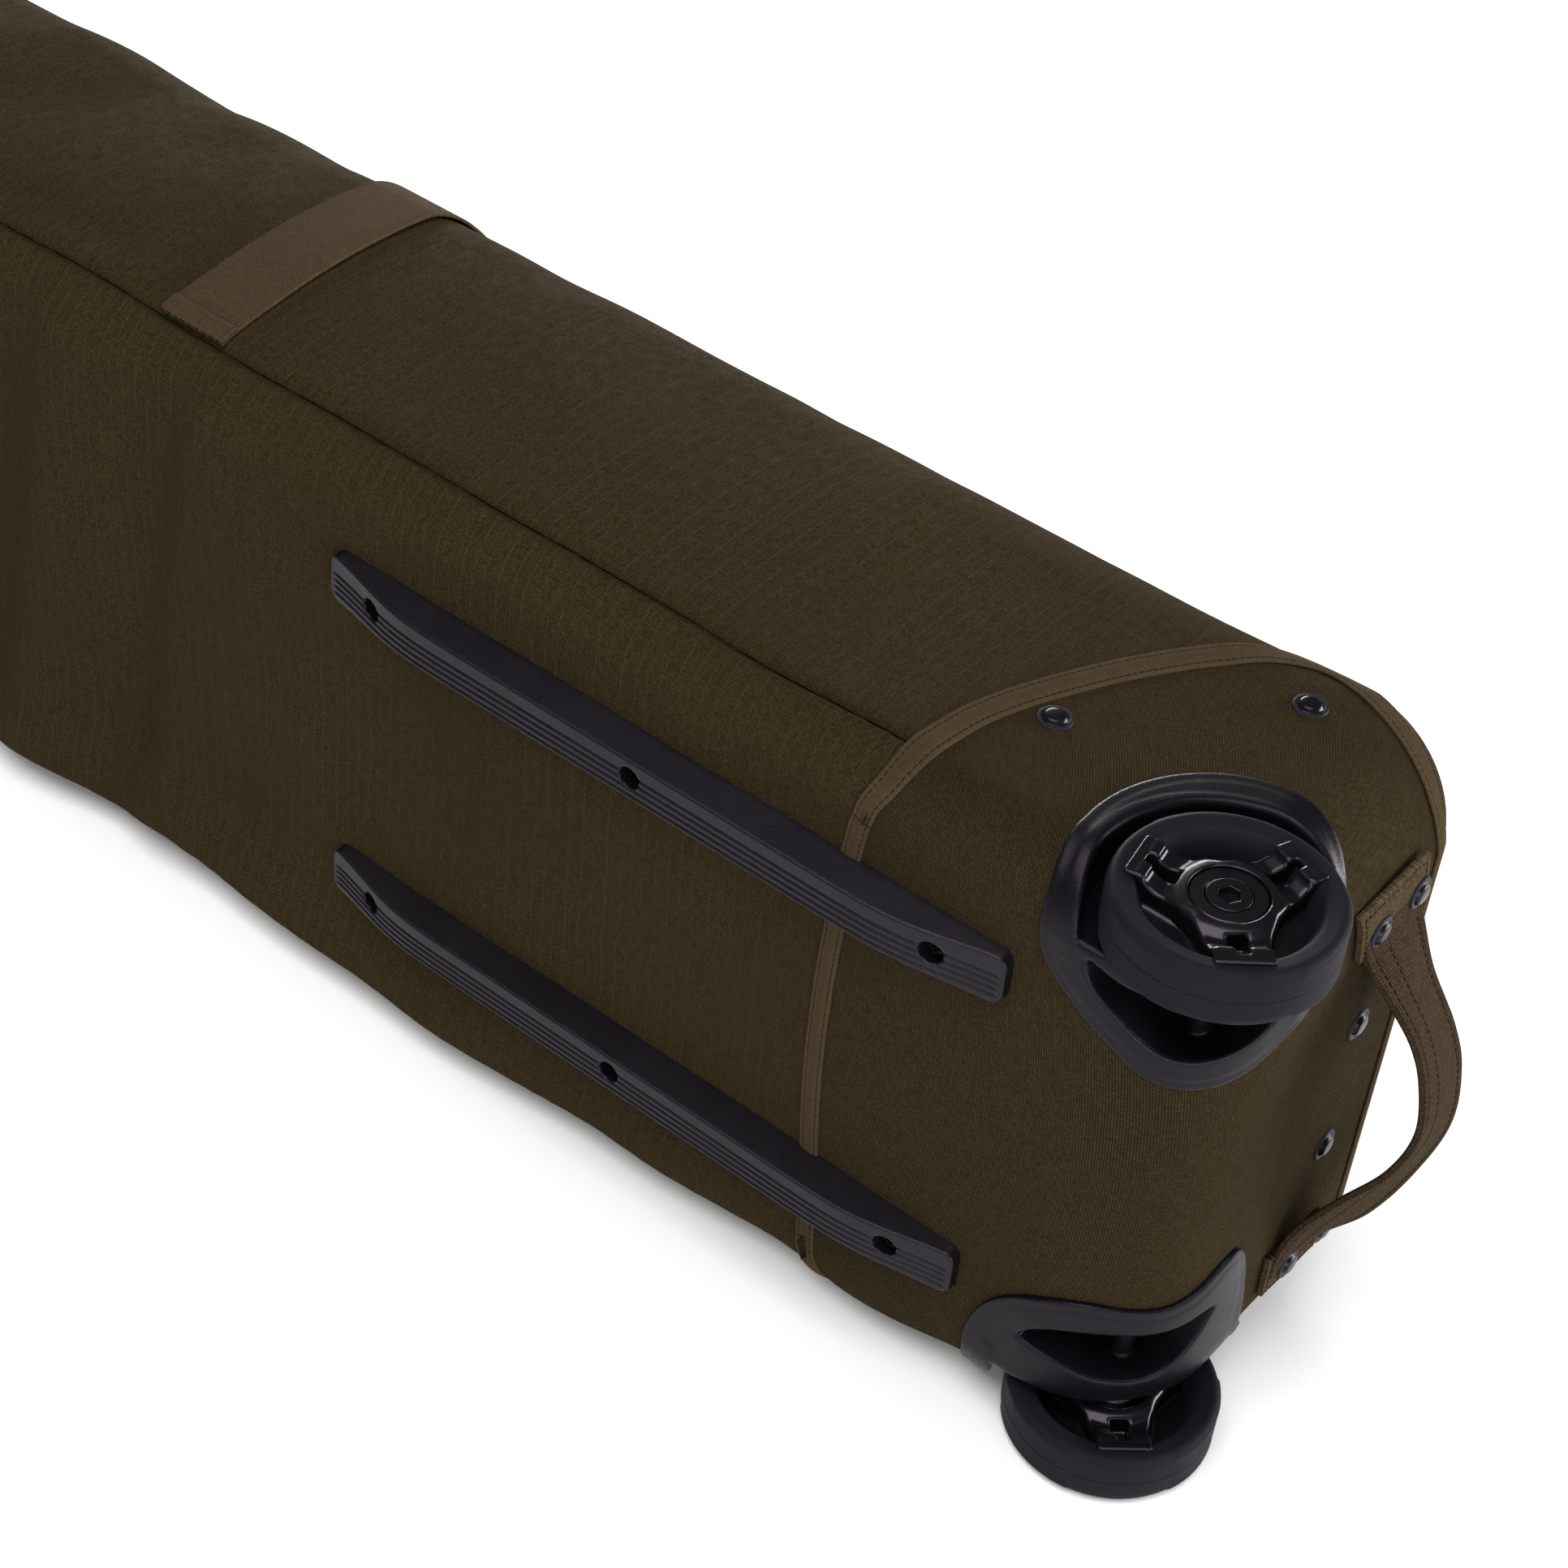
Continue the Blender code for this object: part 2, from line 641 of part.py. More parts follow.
SLIDER_X = {"a": -684.0, "b": -716.0}
SLIDER_DIR = {"a": 1, "b": -1}
PULL_PIVOT_Y = 3.85       # pull's pivot over the slider's underside


def slider(sign):
    """Origin at its middle, on the zip line, plate underside at Y = 0."""
    ob = loft([[(-7, 0, -5.5), (7 * 1.0, 0, -4.0), (7 * 1.0, 0, 4.0), (-7, 0, 5.5)],
               [(-6, 2.6, -4.8), (6, 2.6, -3.2), (6, 2.6, 3.2), (-6, 2.6, 4.8)]])
    bridge = loft([[(-4.5, 2.0, -1.6), (4.5, 2.0, -1.6), (4.5, 2.0, 1.6), (-4.5, 2.0, 1.6)],
                   [(-4.5, 6.4, -1.6), (4.5, 6.4, -1.6), (4.5, 6.4, 1.6), (-4.5, 6.4, 1.6)]])
    cut(bridge, box((-3.0, 2.3, -5), (3.0, 5.2, 5)))
    join(ob, bridge)
    if sign < 0:
        shape_along(ob, Matrix.Rotation(math.pi, 3, "Y"), (0, 0, 0))
    return ob


def pull(sign):
    """Origin on its pivot; the tab lies along +X from it."""
    ob = box((-0.8, -0.8, -4.0), (34.0, 0.8, 4.0))
    cut(ob, box((0.8, -5, -2.2), (9.0, 5, 2.2)))
    if sign < 0:
        shape_along(ob, Matrix.Rotation(math.pi, 3, "Y"), (0, 0, 0))
    return ob


# ---- names, materials and places ------------------------------------------------------
for ob, label, mat in (
        (base_panel, "base_panel", FABRIC), (side_upper, "side_panel_upper", FABRIC),
        (side_lower, "side_panel_lower", FABRIC), (tip_panel, "tip_end_panel", FABRIC),
        (yoke, "top_yoke", FABRIC), (cap, "wheel_end_cap", FABRIC),
        (binding, "binding_tape", TAPE), (base_board, "base_board", BOARD),
        (end_board, "end_board", BOARD), (housing, "wheel_housing_upper", PLASTIC),
        (housing_low, "wheel_housing_lower", PLASTIC), (zip_bag, "zip_teeth_bag", PLASTIC)):
    tidy(ob)
    name(ob, label, mat, root)

for ob, label, s in ((rail_upper, "skid_rail_upper", 1), (rail_lower, "skid_rail_lower", -1)):
    tidy(ob)
    name(ob, label, PLASTIC, root, (0, 0, s * RAIL_Z))
for ob, label, at in screws:
    name(ob, label, STEEL, root, at)
for ob, label, at, _ in rivet_objects:
    name(ob, label, DARK, root, at)
for label, ob in straps.items():
    tidy(ob)
    name(ob, label, WEB, root)
for label, ob in tabs.items():
    tidy(ob)
    name(ob, label, WEB, root)

for tag, s in (("upper", 1), ("lower", -1)):
    stand = empty(f"wheel_axis_{tag}", (0, 0, s * WHEEL_Z), root)
    if s < 0:
        stand.rotation_euler = (math.pi, 0, 0)
    name(tyre(), f"tyre_{tag}", RUBBER, stand)
    name(hub(), f"wheel_hub_{tag}", GLOSS, stand)
    for side, z in (("outer", 5.2), ("inner", -5.2)):
        name(bearing(), f"bearing_{side}_{tag}", STEEL, stand, (0, 0, z))
    name(axle_bolt(), f"axle_bolt_{tag}", DARK, stand)
    name(washer(), f"axle_washer_{tag}", GLOSS, stand)
    name(spacer(), f"axle_spacer_{tag}", STEEL, stand)

lid_axis = empty("lid_axis", (0, LID_Y, LID_HALF), root)
tidy(lid)
name(lid, "lid_panel", FABRIC, lid_axis, (0, -LID_Y, -LID_HALF))
name(zip_lid, "zip_teeth_lid", PLASTIC, lid_axis, (0, -LID_Y, -LID_HALF))
for letter in "ab":
    sgn = SLIDER_DIR[letter]
    stand = empty(f"zip_slider_axis_{letter}",
                  (SLIDER_X[letter], 1.8 + GAP, -2 * LID_HALF), lid_axis)
    ob = slider(sgn)
    tidy(ob)
    name(ob, f"zip_slider_{letter}", DARK, stand)
    ob = pull(sgn)
    tidy(ob)
    name(ob, f"zip_pull_{letter}", DARK, stand, (0, PULL_PIVOT_Y, 0))

swing = empty("grab_handle_axis", (HANDLE_PIVOT[0] - 3.0, HANDLE_PIVOT[1], 0), root)
name(handle_loop(1, 0, HANDLE_Y0 - HANDLE_PIVOT[1], HANDLE_Y1 - HANDLE_PIVOT[1], 44.0),
     "grab_handle", WEB, swing)
mid = (TIP_HANDLE_Y0 + TIP_HANDLE_Y1) / 2
swing = empty("tip_handle_axis", (TIP_X - 2.0, mid, 0), root)
name(handle_loop(-1, 0, TIP_HANDLE_Y0 - mid, TIP_HANDLE_Y1 - mid, 44.0),
     "tip_handle", WEB, swing)
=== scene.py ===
"""Looks of a wheeled ski bag lying on its side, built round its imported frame."""
import json
import math

import bpy
import bmesh
import numpy as np
from mathutils import Matrix, Vector, kdtree


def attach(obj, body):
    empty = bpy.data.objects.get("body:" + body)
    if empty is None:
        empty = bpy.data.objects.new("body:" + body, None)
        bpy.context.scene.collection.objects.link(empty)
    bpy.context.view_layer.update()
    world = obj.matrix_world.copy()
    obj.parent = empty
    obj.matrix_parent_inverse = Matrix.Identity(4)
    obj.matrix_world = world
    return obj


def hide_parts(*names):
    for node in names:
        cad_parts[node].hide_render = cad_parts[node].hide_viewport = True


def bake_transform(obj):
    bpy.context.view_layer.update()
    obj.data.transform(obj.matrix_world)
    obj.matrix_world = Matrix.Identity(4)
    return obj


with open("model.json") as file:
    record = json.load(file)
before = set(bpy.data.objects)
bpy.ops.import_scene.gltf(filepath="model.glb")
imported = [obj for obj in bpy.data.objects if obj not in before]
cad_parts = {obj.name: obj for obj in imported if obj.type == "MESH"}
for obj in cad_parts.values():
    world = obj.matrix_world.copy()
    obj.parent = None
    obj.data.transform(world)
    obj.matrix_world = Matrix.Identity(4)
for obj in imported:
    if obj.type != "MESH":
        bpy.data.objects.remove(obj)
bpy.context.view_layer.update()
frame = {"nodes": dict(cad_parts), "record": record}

SCENE = bpy.context.scene

# ---- sizes, millimetres in the drawing frame (wheel axle at x = y = 0) ----------
ROW = np.array((857.0, -66.5, 152.7))     # drawing origin in the row frame
TIP_X, END_X, UNDER_Y, LID_Y = -1740.0, 26.0, -31.0, 172.0
HALF_W, LOWER_W = 146.0, 150.6
R_NEAR, R_FAR, R_FAR_END, R_END, R_TIP = 28.0, 55.0, 42.0, 42.0, 32.0
FILLET, TOP_FILLET, TIP_FILLET, TIP_TOP_FILLET = 60.0, 54.0, 40.0, 66.0
LID_HALF, LID_X0, LID_X1 = 90.0, -1672.0, -110.0
TIP_SEAM_X = -1672.0
WHEEL_Z, WHEEL_R = 139.2, 45.0
WELL_R, SHELF_Z = 53.6, 122.6
RAIL_X0, RAIL_X1, RAIL_Z = -424.5, -65.5, 84.6
RAIL_BASE_Y, RAIL_TOP_Y = -31.4, -47.5
RAIL_HOLES = (-394.0, -245.0, -96.0)
STRAP_X, STRAP_W = (-533.0, -1190.0), 39.0


# ---- small maths ------------------------------------------------------------------
def step(a, b, x):
    """0 at a, 1 at b, smooth between."""
    t = np.clip((np.asarray(x, float) - a) / (b - a), 0.0, 1.0)
    return t * t * (3 - 2 * t)


def smax(a, b, k):
    h = np.clip(0.5 + 0.5 * (a - b) / k, 0.0, 1.0)
    return b + (a - b) * h + k * h * (1 - h)


def smin(a, b, k):
    return -smax(-a, -b, k)


def unit(v):
    n = np.linalg.norm(v, axis=-1, keepdims=True)
    return v / np.where(n < 1e-9, 1.0, n)


def smooth_curve(points, n, closed=False):
    """n points along a Catmull-Rom curve through the given ones, evenly spaced."""
    p = np.asarray(points, float)
    if closed:
        p = np.vstack([p[-1:], p, p[:2]])
    else:
        p = np.vstack([2 * p[:1] - p[1:2], p, 2 * p[-1:] - p[-2:-1]])
    out = []
    for i in range(1, len(p) - 2):
        t = np.linspace(0, 1, 40, endpoint=False)[:, None]
        a, b, c, d = p[i - 1], p[i], p[i + 1], p[i + 2]
        out.append(0.5 * (2 * b + (c - a) * t + (2 * a - 5 * b + 4 * c - d) * t ** 2
                          + (3 * b - a - 3 * c + d) * t ** 3))
    out.append(p[-2][None])
    return even(np.vstack(out), n)


def lengths(p):
    return np.concatenate([[0.0], np.cumsum(np.linalg.norm(np.diff(p, axis=0), axis=1))])


def even(p, n, at=None):
    """Resample a polyline at n even places, or at the given shares of its length."""
    s = lengths(p)
    if s[-1] < 1e-9:
        return np.repeat(p[:1], n if at is None else len(at), axis=0)
    want = (np.linspace(0, 1, n) if at is None else np.asarray(at)) * s[-1]
    return np.stack([np.interp(want, s, p[:, i]) for i in range(p.shape[1])], axis=1)


def table(points, soft=18.0):
    """A smooth function of one number through a few control points."""
    p = np.asarray(points, float)
    xs = np.linspace(p[0, 0], p[-1, 0], 600)
    ys = np.interp(xs, p[:, 0], p[:, 1])
    w = np.exp(-0.5 * (np.arange(-60, 61) / soft) ** 2)
    pad = np.concatenate([2 * ys[0] - ys[60:0:-1], ys, 2 * ys[-1] - ys[-2:-62:-1]])
    ys = np.convolve(pad, w / w.sum(), "valid")
    slope = np.gradient(ys, xs)
    return lambda x: np.interp(x, xs, ys), lambda x: np.interp(x, xs, slope)


def noise(p, seed=0, scale=1.0):
    """Cheap smooth noise about 0 from a fixed set of waves."""
    rng = np.random.RandomState(seed)
    out = 0.0
    for _ in range(7):
        d = unit(rng.normal(size=3)) * rng.uniform(0.5, 1.6) / scale
        out = out + np.sin(p @ d * 2 * math.pi + rng.uniform(0, 6.28))
    return out / 7 ** 0.5 / 0.9


# ---- the bag's outer form ------------------------------------------------------------
def half_width(x, lower):
    if not np.any(lower):
        return HALF_W + 0.0 * x
    sag = 1 - step(-330.0, -145.0, x)
    tip = step(-1740.0, -1560.0, x)
    return np.where(lower, HALF_W + (LOWER_W - HALF_W) * sag * tip, HALF_W)


def plan(x, y):
    """Distance in from the side view's outline, and the edge rounding there."""
    cx, cy = (TIP_X + END_X) / 2, (UNDER_Y + LID_Y) / 2
    hx, hy = (END_X - TIP_X) / 2, (LID_Y - UNDER_Y) / 2
    x, y = np.broadcast_arrays(np.asarray(x, float), np.asarray(y, float))
    right, top = x > cx, y > cy
    R = np.where(right, np.where(top, TOP_FILLET, FILLET),
                 np.where(top, TIP_TOP_FILLET, TIP_FILLET))
    qx, qy = np.abs(x - cx) - hx + R, np.abs(y - cy) - hy + R
    d = (np.minimum(np.maximum(qx, qy), 0)
         + np.hypot(np.maximum(qx, 0), np.maximum(qy, 0)) - R)
    turn = np.arctan2(np.maximum(qx, 0), np.maximum(qy, 1e-6)) / (math.pi / 2)
    turn = np.where((qy <= 0) & (qx > qy), 1.0, turn)
    far = R_FAR_END + (R_FAR - R_FAR_END) * np.clip((-28.0 - x) / 132.0, 0, 1)
    r = np.where(right,
                 np.where(top, far * (1 - turn) + R_END * turn,
                          R_NEAR * (1 - turn) + R_END * turn),
                 np.where(top, R_FAR * (1 - turn) + R_TIP * turn,
                          R_NEAR * (1 - turn) + R_TIP * turn))
    return -d, r


def side_z(x, y, lower=False):
    """How far out the side stands at a place in the side view."""
    d, r = plan(x, y)
    h = half_width(x, lower)
    g = np.clip(r - d, 0, r)
    return h - r + np.sqrt(np.maximum(r * r - g * g, 0))


def hull(x, y, z):
    """Signed distance to the outer form, negative inside."""
    d, r = plan(x, y)
    h = half_width(x + 0 * z, z < 0)
    a, b = -d + r, np.abs(z) - h + r
    return np.minimum(np.maximum(a, b), 0) + np.hypot(np.maximum(a, 0), np.maximum(b, 0)) - r


def slope_of(f, p, e=0.4):
    g = np.empty_like(p)
    for i in range(3):
        q = p.copy(); q[:, i] += e
        w = p.copy(); w[:, i] -= e
        g[:, i] = (f(q[:, 0], q[:, 1], q[:, 2]) - f(w[:, 0], w[:, 1], w[:, 2])) / (2 * e)
    return g


def hull_normal(p):
    return unit(slope_of(hull, p))


def seam_y(x):
    """Where the underside panel is sewn to the upper side panel."""
    x = np.asarray(x, float)
    wave = 0.7 * np.sin(x / 61.0) + 0.5 * np.sin(x / 23.0 + 1.0)
    return -11.6 + 3.4 * np.exp(-((x + 140.0) / 55.0) ** 2) + wave * step(-180, -260, x) \
        - 2.0 * step(-600, -700, x)


# the seam line of the wheel end cap, in the side view
CAP_LINE = smooth_curve([(-141.6, -31.0), (-136.6, -26.0), (-134.2, -17.0), (-132.8, -2.0), (-130.6, 18.0),
                         (-126.0, 36.0), (-119.4, 53.5), (-111.8, 71.0), (-103.4, 88.0),
                         (-93.8, 104.6), (-83.4, 120.0), (-70.2, 136.4), (-55.0, 148.6),
                         (-42.0, 151.0), (-26.0, 146.4), (-8.0, 140.8), (9.0, 136.0),
                         (24.56, 130.4)], 400)
CAP_LOW = CAP_LINE + np.column_stack([2.0 * (1 - step(0.0, 0.3, np.linspace(0, 1, 400))), np.zeros(400)])


def cap_edge_x(z):
    z = np.asarray(z, float)
    return -150.1 + np.where(z > 0, 11.8, 15.1) * (np.abs(z) / 146.0) ** 2


def outline(a, b, n=400):
    """Points of the side view's outline from place a to place b, given as distances
    along it from the underside's tip end, going by the wheel end and the lid."""
    bits = []
    u = np.linspace(0, 1, 160)

    def arc(cx, cy, r, t0, t1):
        t = np.radians(t0 + (t1 - t0) * u)
        bits.append(np.stack([cx + r * np.cos(t), cy + r * np.sin(t)], 1))

    def line(p, q):
        bits.append(np.asarray(p) * (1 - u[:, None]) + np.asarray(q) * u[:, None])

    line((TIP_X + TIP_FILLET, UNDER_Y), (END_X - FILLET, UNDER_Y))
    arc(END_X - FILLET, UNDER_Y + FILLET, FILLET, -90, 0)
    line((END_X, UNDER_Y + FILLET), (END_X, LID_Y - TOP_FILLET))
    arc(END_X - TOP_FILLET, LID_Y - TOP_FILLET, TOP_FILLET, 0, 90)
    line((END_X - TOP_FILLET, LID_Y), (TIP_X + TIP_TOP_FILLET, LID_Y))
    arc(TIP_X + TIP_TOP_FILLET, LID_Y - TIP_TOP_FILLET, TIP_TOP_FILLET, 90, 180)
    line((TIP_X, LID_Y - TIP_TOP_FILLET), (TIP_X, UNDER_Y + TIP_FILLET))
    arc(TIP_X + TIP_FILLET, UNDER_Y + TIP_FILLET, TIP_FILLET, 180, 270)
    p = np.vstack(bits)
    p = np.vstack([p, p])
    s = lengths(p)
    w = np.linspace(a, b, n)
    return np.stack([np.interp(w, s, p[:, 0]), np.interp(w, s, p[:, 1])], 1)


LOOP_S = np.linspace(0, 3843.0, 40000)
LOOP = outline(0, 3843.0, 40000)


def along(x, y, lo=0.0, hi=4200.0):
    """Distance along the outline of the place nearest to (x, y)."""
    ok = (LOOP_S >= lo) & (LOOP_S <= hi)
    k = np.argmin((LOOP[ok, 0] - x) ** 2 + (LOOP[ok, 1] - y) ** 2)
    return float(LOOP_S[ok][k])


# ---- soft shape: sag, swell, creases ----------------------------------------------------
FOLDS = (
    # panel test, line from, line to (x and the across-coordinate), width, depth
    ("side", (-640, 172), (-760, 20), 13.0, -3.2),
    ("side", (-690, 176), (-830, 40), 15.0, 3.0),
    ("side", (-585, 160), (-640, 60), 11.0, -2.0),
    ("side", (-320, 168), (-230, 118), 18.0, -2.0),
    ("side", (-470, 172), (-430, 110), 14.0, -1.6),
    ("side", (-575, 20), (-700, -8), 8.0, -1.8),
    ("side", (-905, 165), (-985, 30), 16.0, -2.4),
    ("side", (-1120, 160), (-1060, 20), 15.0, -2.2),
    ("side", (-1370, 165), (-1450, 25), 17.0, -2.6),
    ("side", (-1560, 150), (-1510, 20), 14.0, -1.8),
    ("under", (-470, 130), (-455, 60), 8.0, -1.8),
    ("under", (-700, 120), (-680, -120), 22.0, -2.6),
    ("under", (-900, 130), (-940, -130), 26.0, -2.2),
    ("under", (-1180, 130), (-1150, -130), 24.0, -2.6),
    ("under", (-1440, 130), (-1470, -130), 26.0, -2.2),
    ("under", (-470, -60), (-520, -146), 14.0, -2.4),
    ("under", (-640, -50), (-600, -146), 16.0, 2.2),
)


def crease(u, v, a, b, width):
    """A soft furrow along a line that fades at both ends."""
    a, b = np.asarray(a, float), np.asarray(b, float)
    d = b - a
    n = np.hypot(*d)
    t = ((u - a[0]) * d[0] + (v - a[1]) * d[1]) / n
    e = (-(u - a[0]) * d[1] + (v - a[1]) * d[0]) / n
    e = e + 3.5 * np.sin(t / 31.0 + a[0])
    return np.exp(-0.5 * (e / width) ** 2) * step(0, 0.3 * n, t) * step(n, 0.72 * n, t)


# how far the lower edge rolls out under the weight, and how far the upper far edge draws in
ROLL_OUT = table(((-1738, 0), (-1650, 6), (-1500, 13), (-1190, 12), (-1000, 15), (-800, 16), (-650, 18), (-600, 15),
                  (-550, 12), (-500, 15), (-450, 17), (-350, 17), (-300, 14.5), (-230, 14), (-200, 11.5),
                  (-160, 7.4), (-140, 7.8), (-120, 11.5), (-100, 10), (-80, 6.5), (-58, 0), (26, 0)), 3.5)[0]
DRAW_IN = table(((-1740, 0), (-1600, 4.3), (-900, 6.3), (-740, 6.8), (-690, 5.0), (-655, 3.6), (-590, 3.3), (-540, 4.4),
                 (-495, 3.2), (-462, 0.8), (-330, 0.2), (-291, -1.6), (-240, -0.8), (-186, -1.8), (-160, -2.2),
                 (-136, -1.4), (-110, 0), (26, 0)), 5.0)[0]


# the step across the underside by the rails' nose, where the stiffened part begins
STEP_X = table(((-200, 0), (-120, 1.4), (-80, 0.6), (-45, -2.2), (-20, -4.6), (-10, -4.4), (3, 2.6), (10, 5.8), (22, 5.4),
                (70, 1.8), (120, 0)), 4.0)[0]


def settle(p, normal):
    """Moves points of the ideal form to where the filled fabric lies."""
    x, y, z = p.T
    nx, ny, nz = normal.T
    tip = step(-1738.0, -1600.0, x)
    away = step(-150.0, -230.0, x) * tip           # nothing moves by the cap's seam
    out = p.copy()
    # the lower edge rolls outwards under the weight
    roll = np.clip((-84.0 - z) / 52.0, 0, 1) ** 1.5
    out[:, 1] -= ROLL_OUT(x) * roll * step(75.0, -12.0, y)
    # the upper far edge and the end's upper corner are drawn in a little
    far = np.clip(2 * ny * nz, 0, 1) * (z > 0) * (ny > 0)
    corner = np.clip(2 * nx * nz, 0, 1) * (z > 0) * (nx > 0) * step(45.0, 105.0, y)
    out -= normal * (DRAW_IN(x) * far + 3.6 * corner)[:, None]
    # panels stand out between their seams
    swell = np.zeros(len(p))
    swell += np.clip(np.abs(nz), 0, 1) ** 2 * np.sin(
        np.clip((y - UNDER_Y) / (LID_Y - UNDER_Y), 0, 1) * math.pi) ** 1.2 * np.where(
            z > 0, 2.6 + 9.0 * step(-150.0, -450.0, x), 0.9)
    swell += 2.2 * np.clip(ny, 0, 1) ** 2 * np.cos(np.clip(z / 110.0, -1, 1) * math.pi / 2)
    swell *= away
    calm = 1 - 0.7 * np.clip(2 * ny * nz, 0, 1) * (z > 0)
    swell += (1.3 * noise(p, 3, 190.0) + 0.5 * noise(p, 5, 62.0)) * away * calm
    side = np.clip(np.abs(nz), 0, 1) ** 1.5
    under = np.clip(-ny, 0, 1) ** 1.5
    on_rail = np.exp(-((np.abs(z) - RAIL_Z) / 17.0) ** 4) * step(-452, -436, x)
    for where, a, b, width, depth in FOLDS:
        if where == "side":
            k = side * crease(x, y, a, b, width)
        else:
            k = under * crease(x, z, a, b, width) * (1 - on_rail)
        swell += depth * k * tip
    e = x + 536.5 - 0.188 * z + 2.0 * np.sin(z / 37.0)
    swell += np.where(np.abs(e) < 200, STEP_X(e), 0.0) * under * step(150.0, 120.0, np.abs(z))
    e = x + 634.0 - 0.15 * z - 3.0 * np.sin(z / 45.0)
    swell += 0.9 * np.where(np.abs(e) < 200, STEP_X(e), 0.0) * under * step(150.0, 120.0, np.abs(z))
    swell *= 1 - 0.9 * on_rail * under
    # the lid folds along a shallow valley
    off = np.abs(z - LID_HALF)
    fold = np.clip(ny, 0, 1) ** 2 * step(-1710.0, -1680.0, x) * step(-75.0, -105.0, x)
    swell = swell * (1 - fold * np.exp(-(off / 24.0) ** 2)) - 0.6 * fold * np.exp(-(off / 9.0) ** 2)
    out = out + normal * swell[:, None]
    # the underside stays outside its stiffening board
    flat = (ny < -0.8) & (np.abs(z) < 118.0) & (x > -1664.0) & (x < -62.0)
    out[:, 1] = np.where(flat, smin(out[:, 1], -26.4, 1.5), out[:, 1])
    out[:, 2] = smax(out[:, 2], -151.2, 3.0)       # flat where it lies on the floor
    return out


# ---- mesh helpers -----------------------------------------------------------------------
def row(v):
    return (np.asarray(v, float) + ROW) * 0.001


def mesh(name, verts, quads, tris=None, weave=None, smooth=True):
    """A mesh object from drawing-frame millimetres."""
    v = row(verts).astype(np.float32)
    faces = [np.asarray(quads, np.int64).reshape(-1, 4)]
    if tris is not None and len(tris):
        faces.append(np.asarray(tris, np.int64).reshape(-1, 3))
    loops = np.concatenate([f.ravel() for f in faces])
    size = np.concatenate([np.full(len(f), f.shape[1]) for f in faces])
    start = np.concatenate([[0], np.cumsum(size)[:-1]])
    me = bpy.data.meshes.new(name)
    me.vertices.add(len(v))
    me.vertices.foreach_set("co", v.ravel())
    me.loops.add(len(loops))
    me.loops.foreach_set("vertex_index", loops.astype(np.int32))
    me.polygons.add(len(size))
    me.polygons.foreach_set("loop_start", start.astype(np.int32))
    me.polygons.foreach_set("loop_total", size.astype(np.int32))
    me.update(calc_edges=True)
    me.validate()
    if weave is not None:
        put_weave(me, weave)
    if smooth:
        me.polygons.foreach_set("use_smooth", np.ones(len(me.polygons), bool))
    ob = bpy.data.objects.new(name, me)
    SCENE.collection.objects.link(ob)
    return ob


def put_weave(me, weave):
    a = me.attributes.new("weave", "FLOAT_VECTOR", "POINT")
    w = np.zeros((len(me.vertices), 3), np.float32)
    w[:len(weave), :np.asarray(weave).shape[1]] = np.asarray(weave) * 0.001
    a.data.foreach_set("vector", w.ravel())


def clean(ob, dist=2e-6):
    bm = bmesh.new()
    bm.from_mesh(ob.data)
    bmesh.ops.remove_doubles(bm, verts=bm.verts, dist=dist)
    bmesh.ops.dissolve_degenerate(bm, edges=bm.edges, dist=dist * 0.5)
    bmesh.ops.recalc_face_normals(bm, faces=bm.faces)
    bm.to_mesh(ob.data)
    bm.free()
    return ob


def grid_quads(n, m, keep=None):
    i, j = np.meshgrid(np.arange(n - 1), np.arange(m - 1), indexing="ij")
    a = i * m + j
    q = np.stack([a, a + m, a + m + 1, a + 1], -1)
    return q.reshape(-1, 4) if keep is None else q[keep]


def grid_normals(g):
    n, m, _ = g.shape
    p = g.reshape(-1, 3)
    q = grid_quads(n, m)
    f = np.cross(p[q[:, 2]] - p[q[:, 0]], p[q[:, 3]] - p[q[:, 1]])
    key = np.round(p * 200).astype(np.int64)
    _, same = np.unique(key, axis=0, return_inverse=True)
    same = same.ravel()
    acc = np.zeros((same.max() + 1, 3))
    for k in range(4):
        np.add.at(acc, same[q[:, k]], f)
    return unit(acc[same]).reshape(n, m, 3)


def shell(name, g, thick, weave, keep=None, outward=None, inner=None):
    """A closed padded sheet: the grid outside, a lining inside, walls at every edge."""
    n, m, _ = g.shape
    nor = grid_normals(g)
    if outward is not None and np.sum(nor * outward) < 0:
        g, weave = g[::-1], weave[::-1]
        keep = keep[::-1] if keep is not None else None
        inner = inner[::-1] if inner is not None else None
        nor = grid_normals(g)
    ins = g - nor * thick if inner is None else inner
    q = grid_quads(n, m, keep)
    top, bot = q, q[:, ::-1] + n * m
    e = np.concatenate([q[:, [0, 1]], q[:, [1, 2]], q[:, [2, 3]], q[:, [3, 0]]])
    key = np.sort(e, 1)
    _, first, count = np.unique(key, axis=0, return_index=True, return_counts=True)
    rim = e[first[count == 1]]
    wall = np.stack([rim[:, 1], rim[:, 0], rim[:, 0] + n * m, rim[:, 1] + n * m], 1)
    quads = np.vstack([top, bot, wall])
    v = np.vstack([g.reshape(-1, 3), ins.reshape(-1, 3)])
    w = np.vstack([weave.reshape(-1, 2), weave.reshape(-1, 2)])
    used = np.unique(quads)
    remap = np.full(len(v), -1)
    remap[used] = np.arange(len(used))
    ob = mesh(name, v[used], remap[quads], weave=w[used])
    return clean(ob)


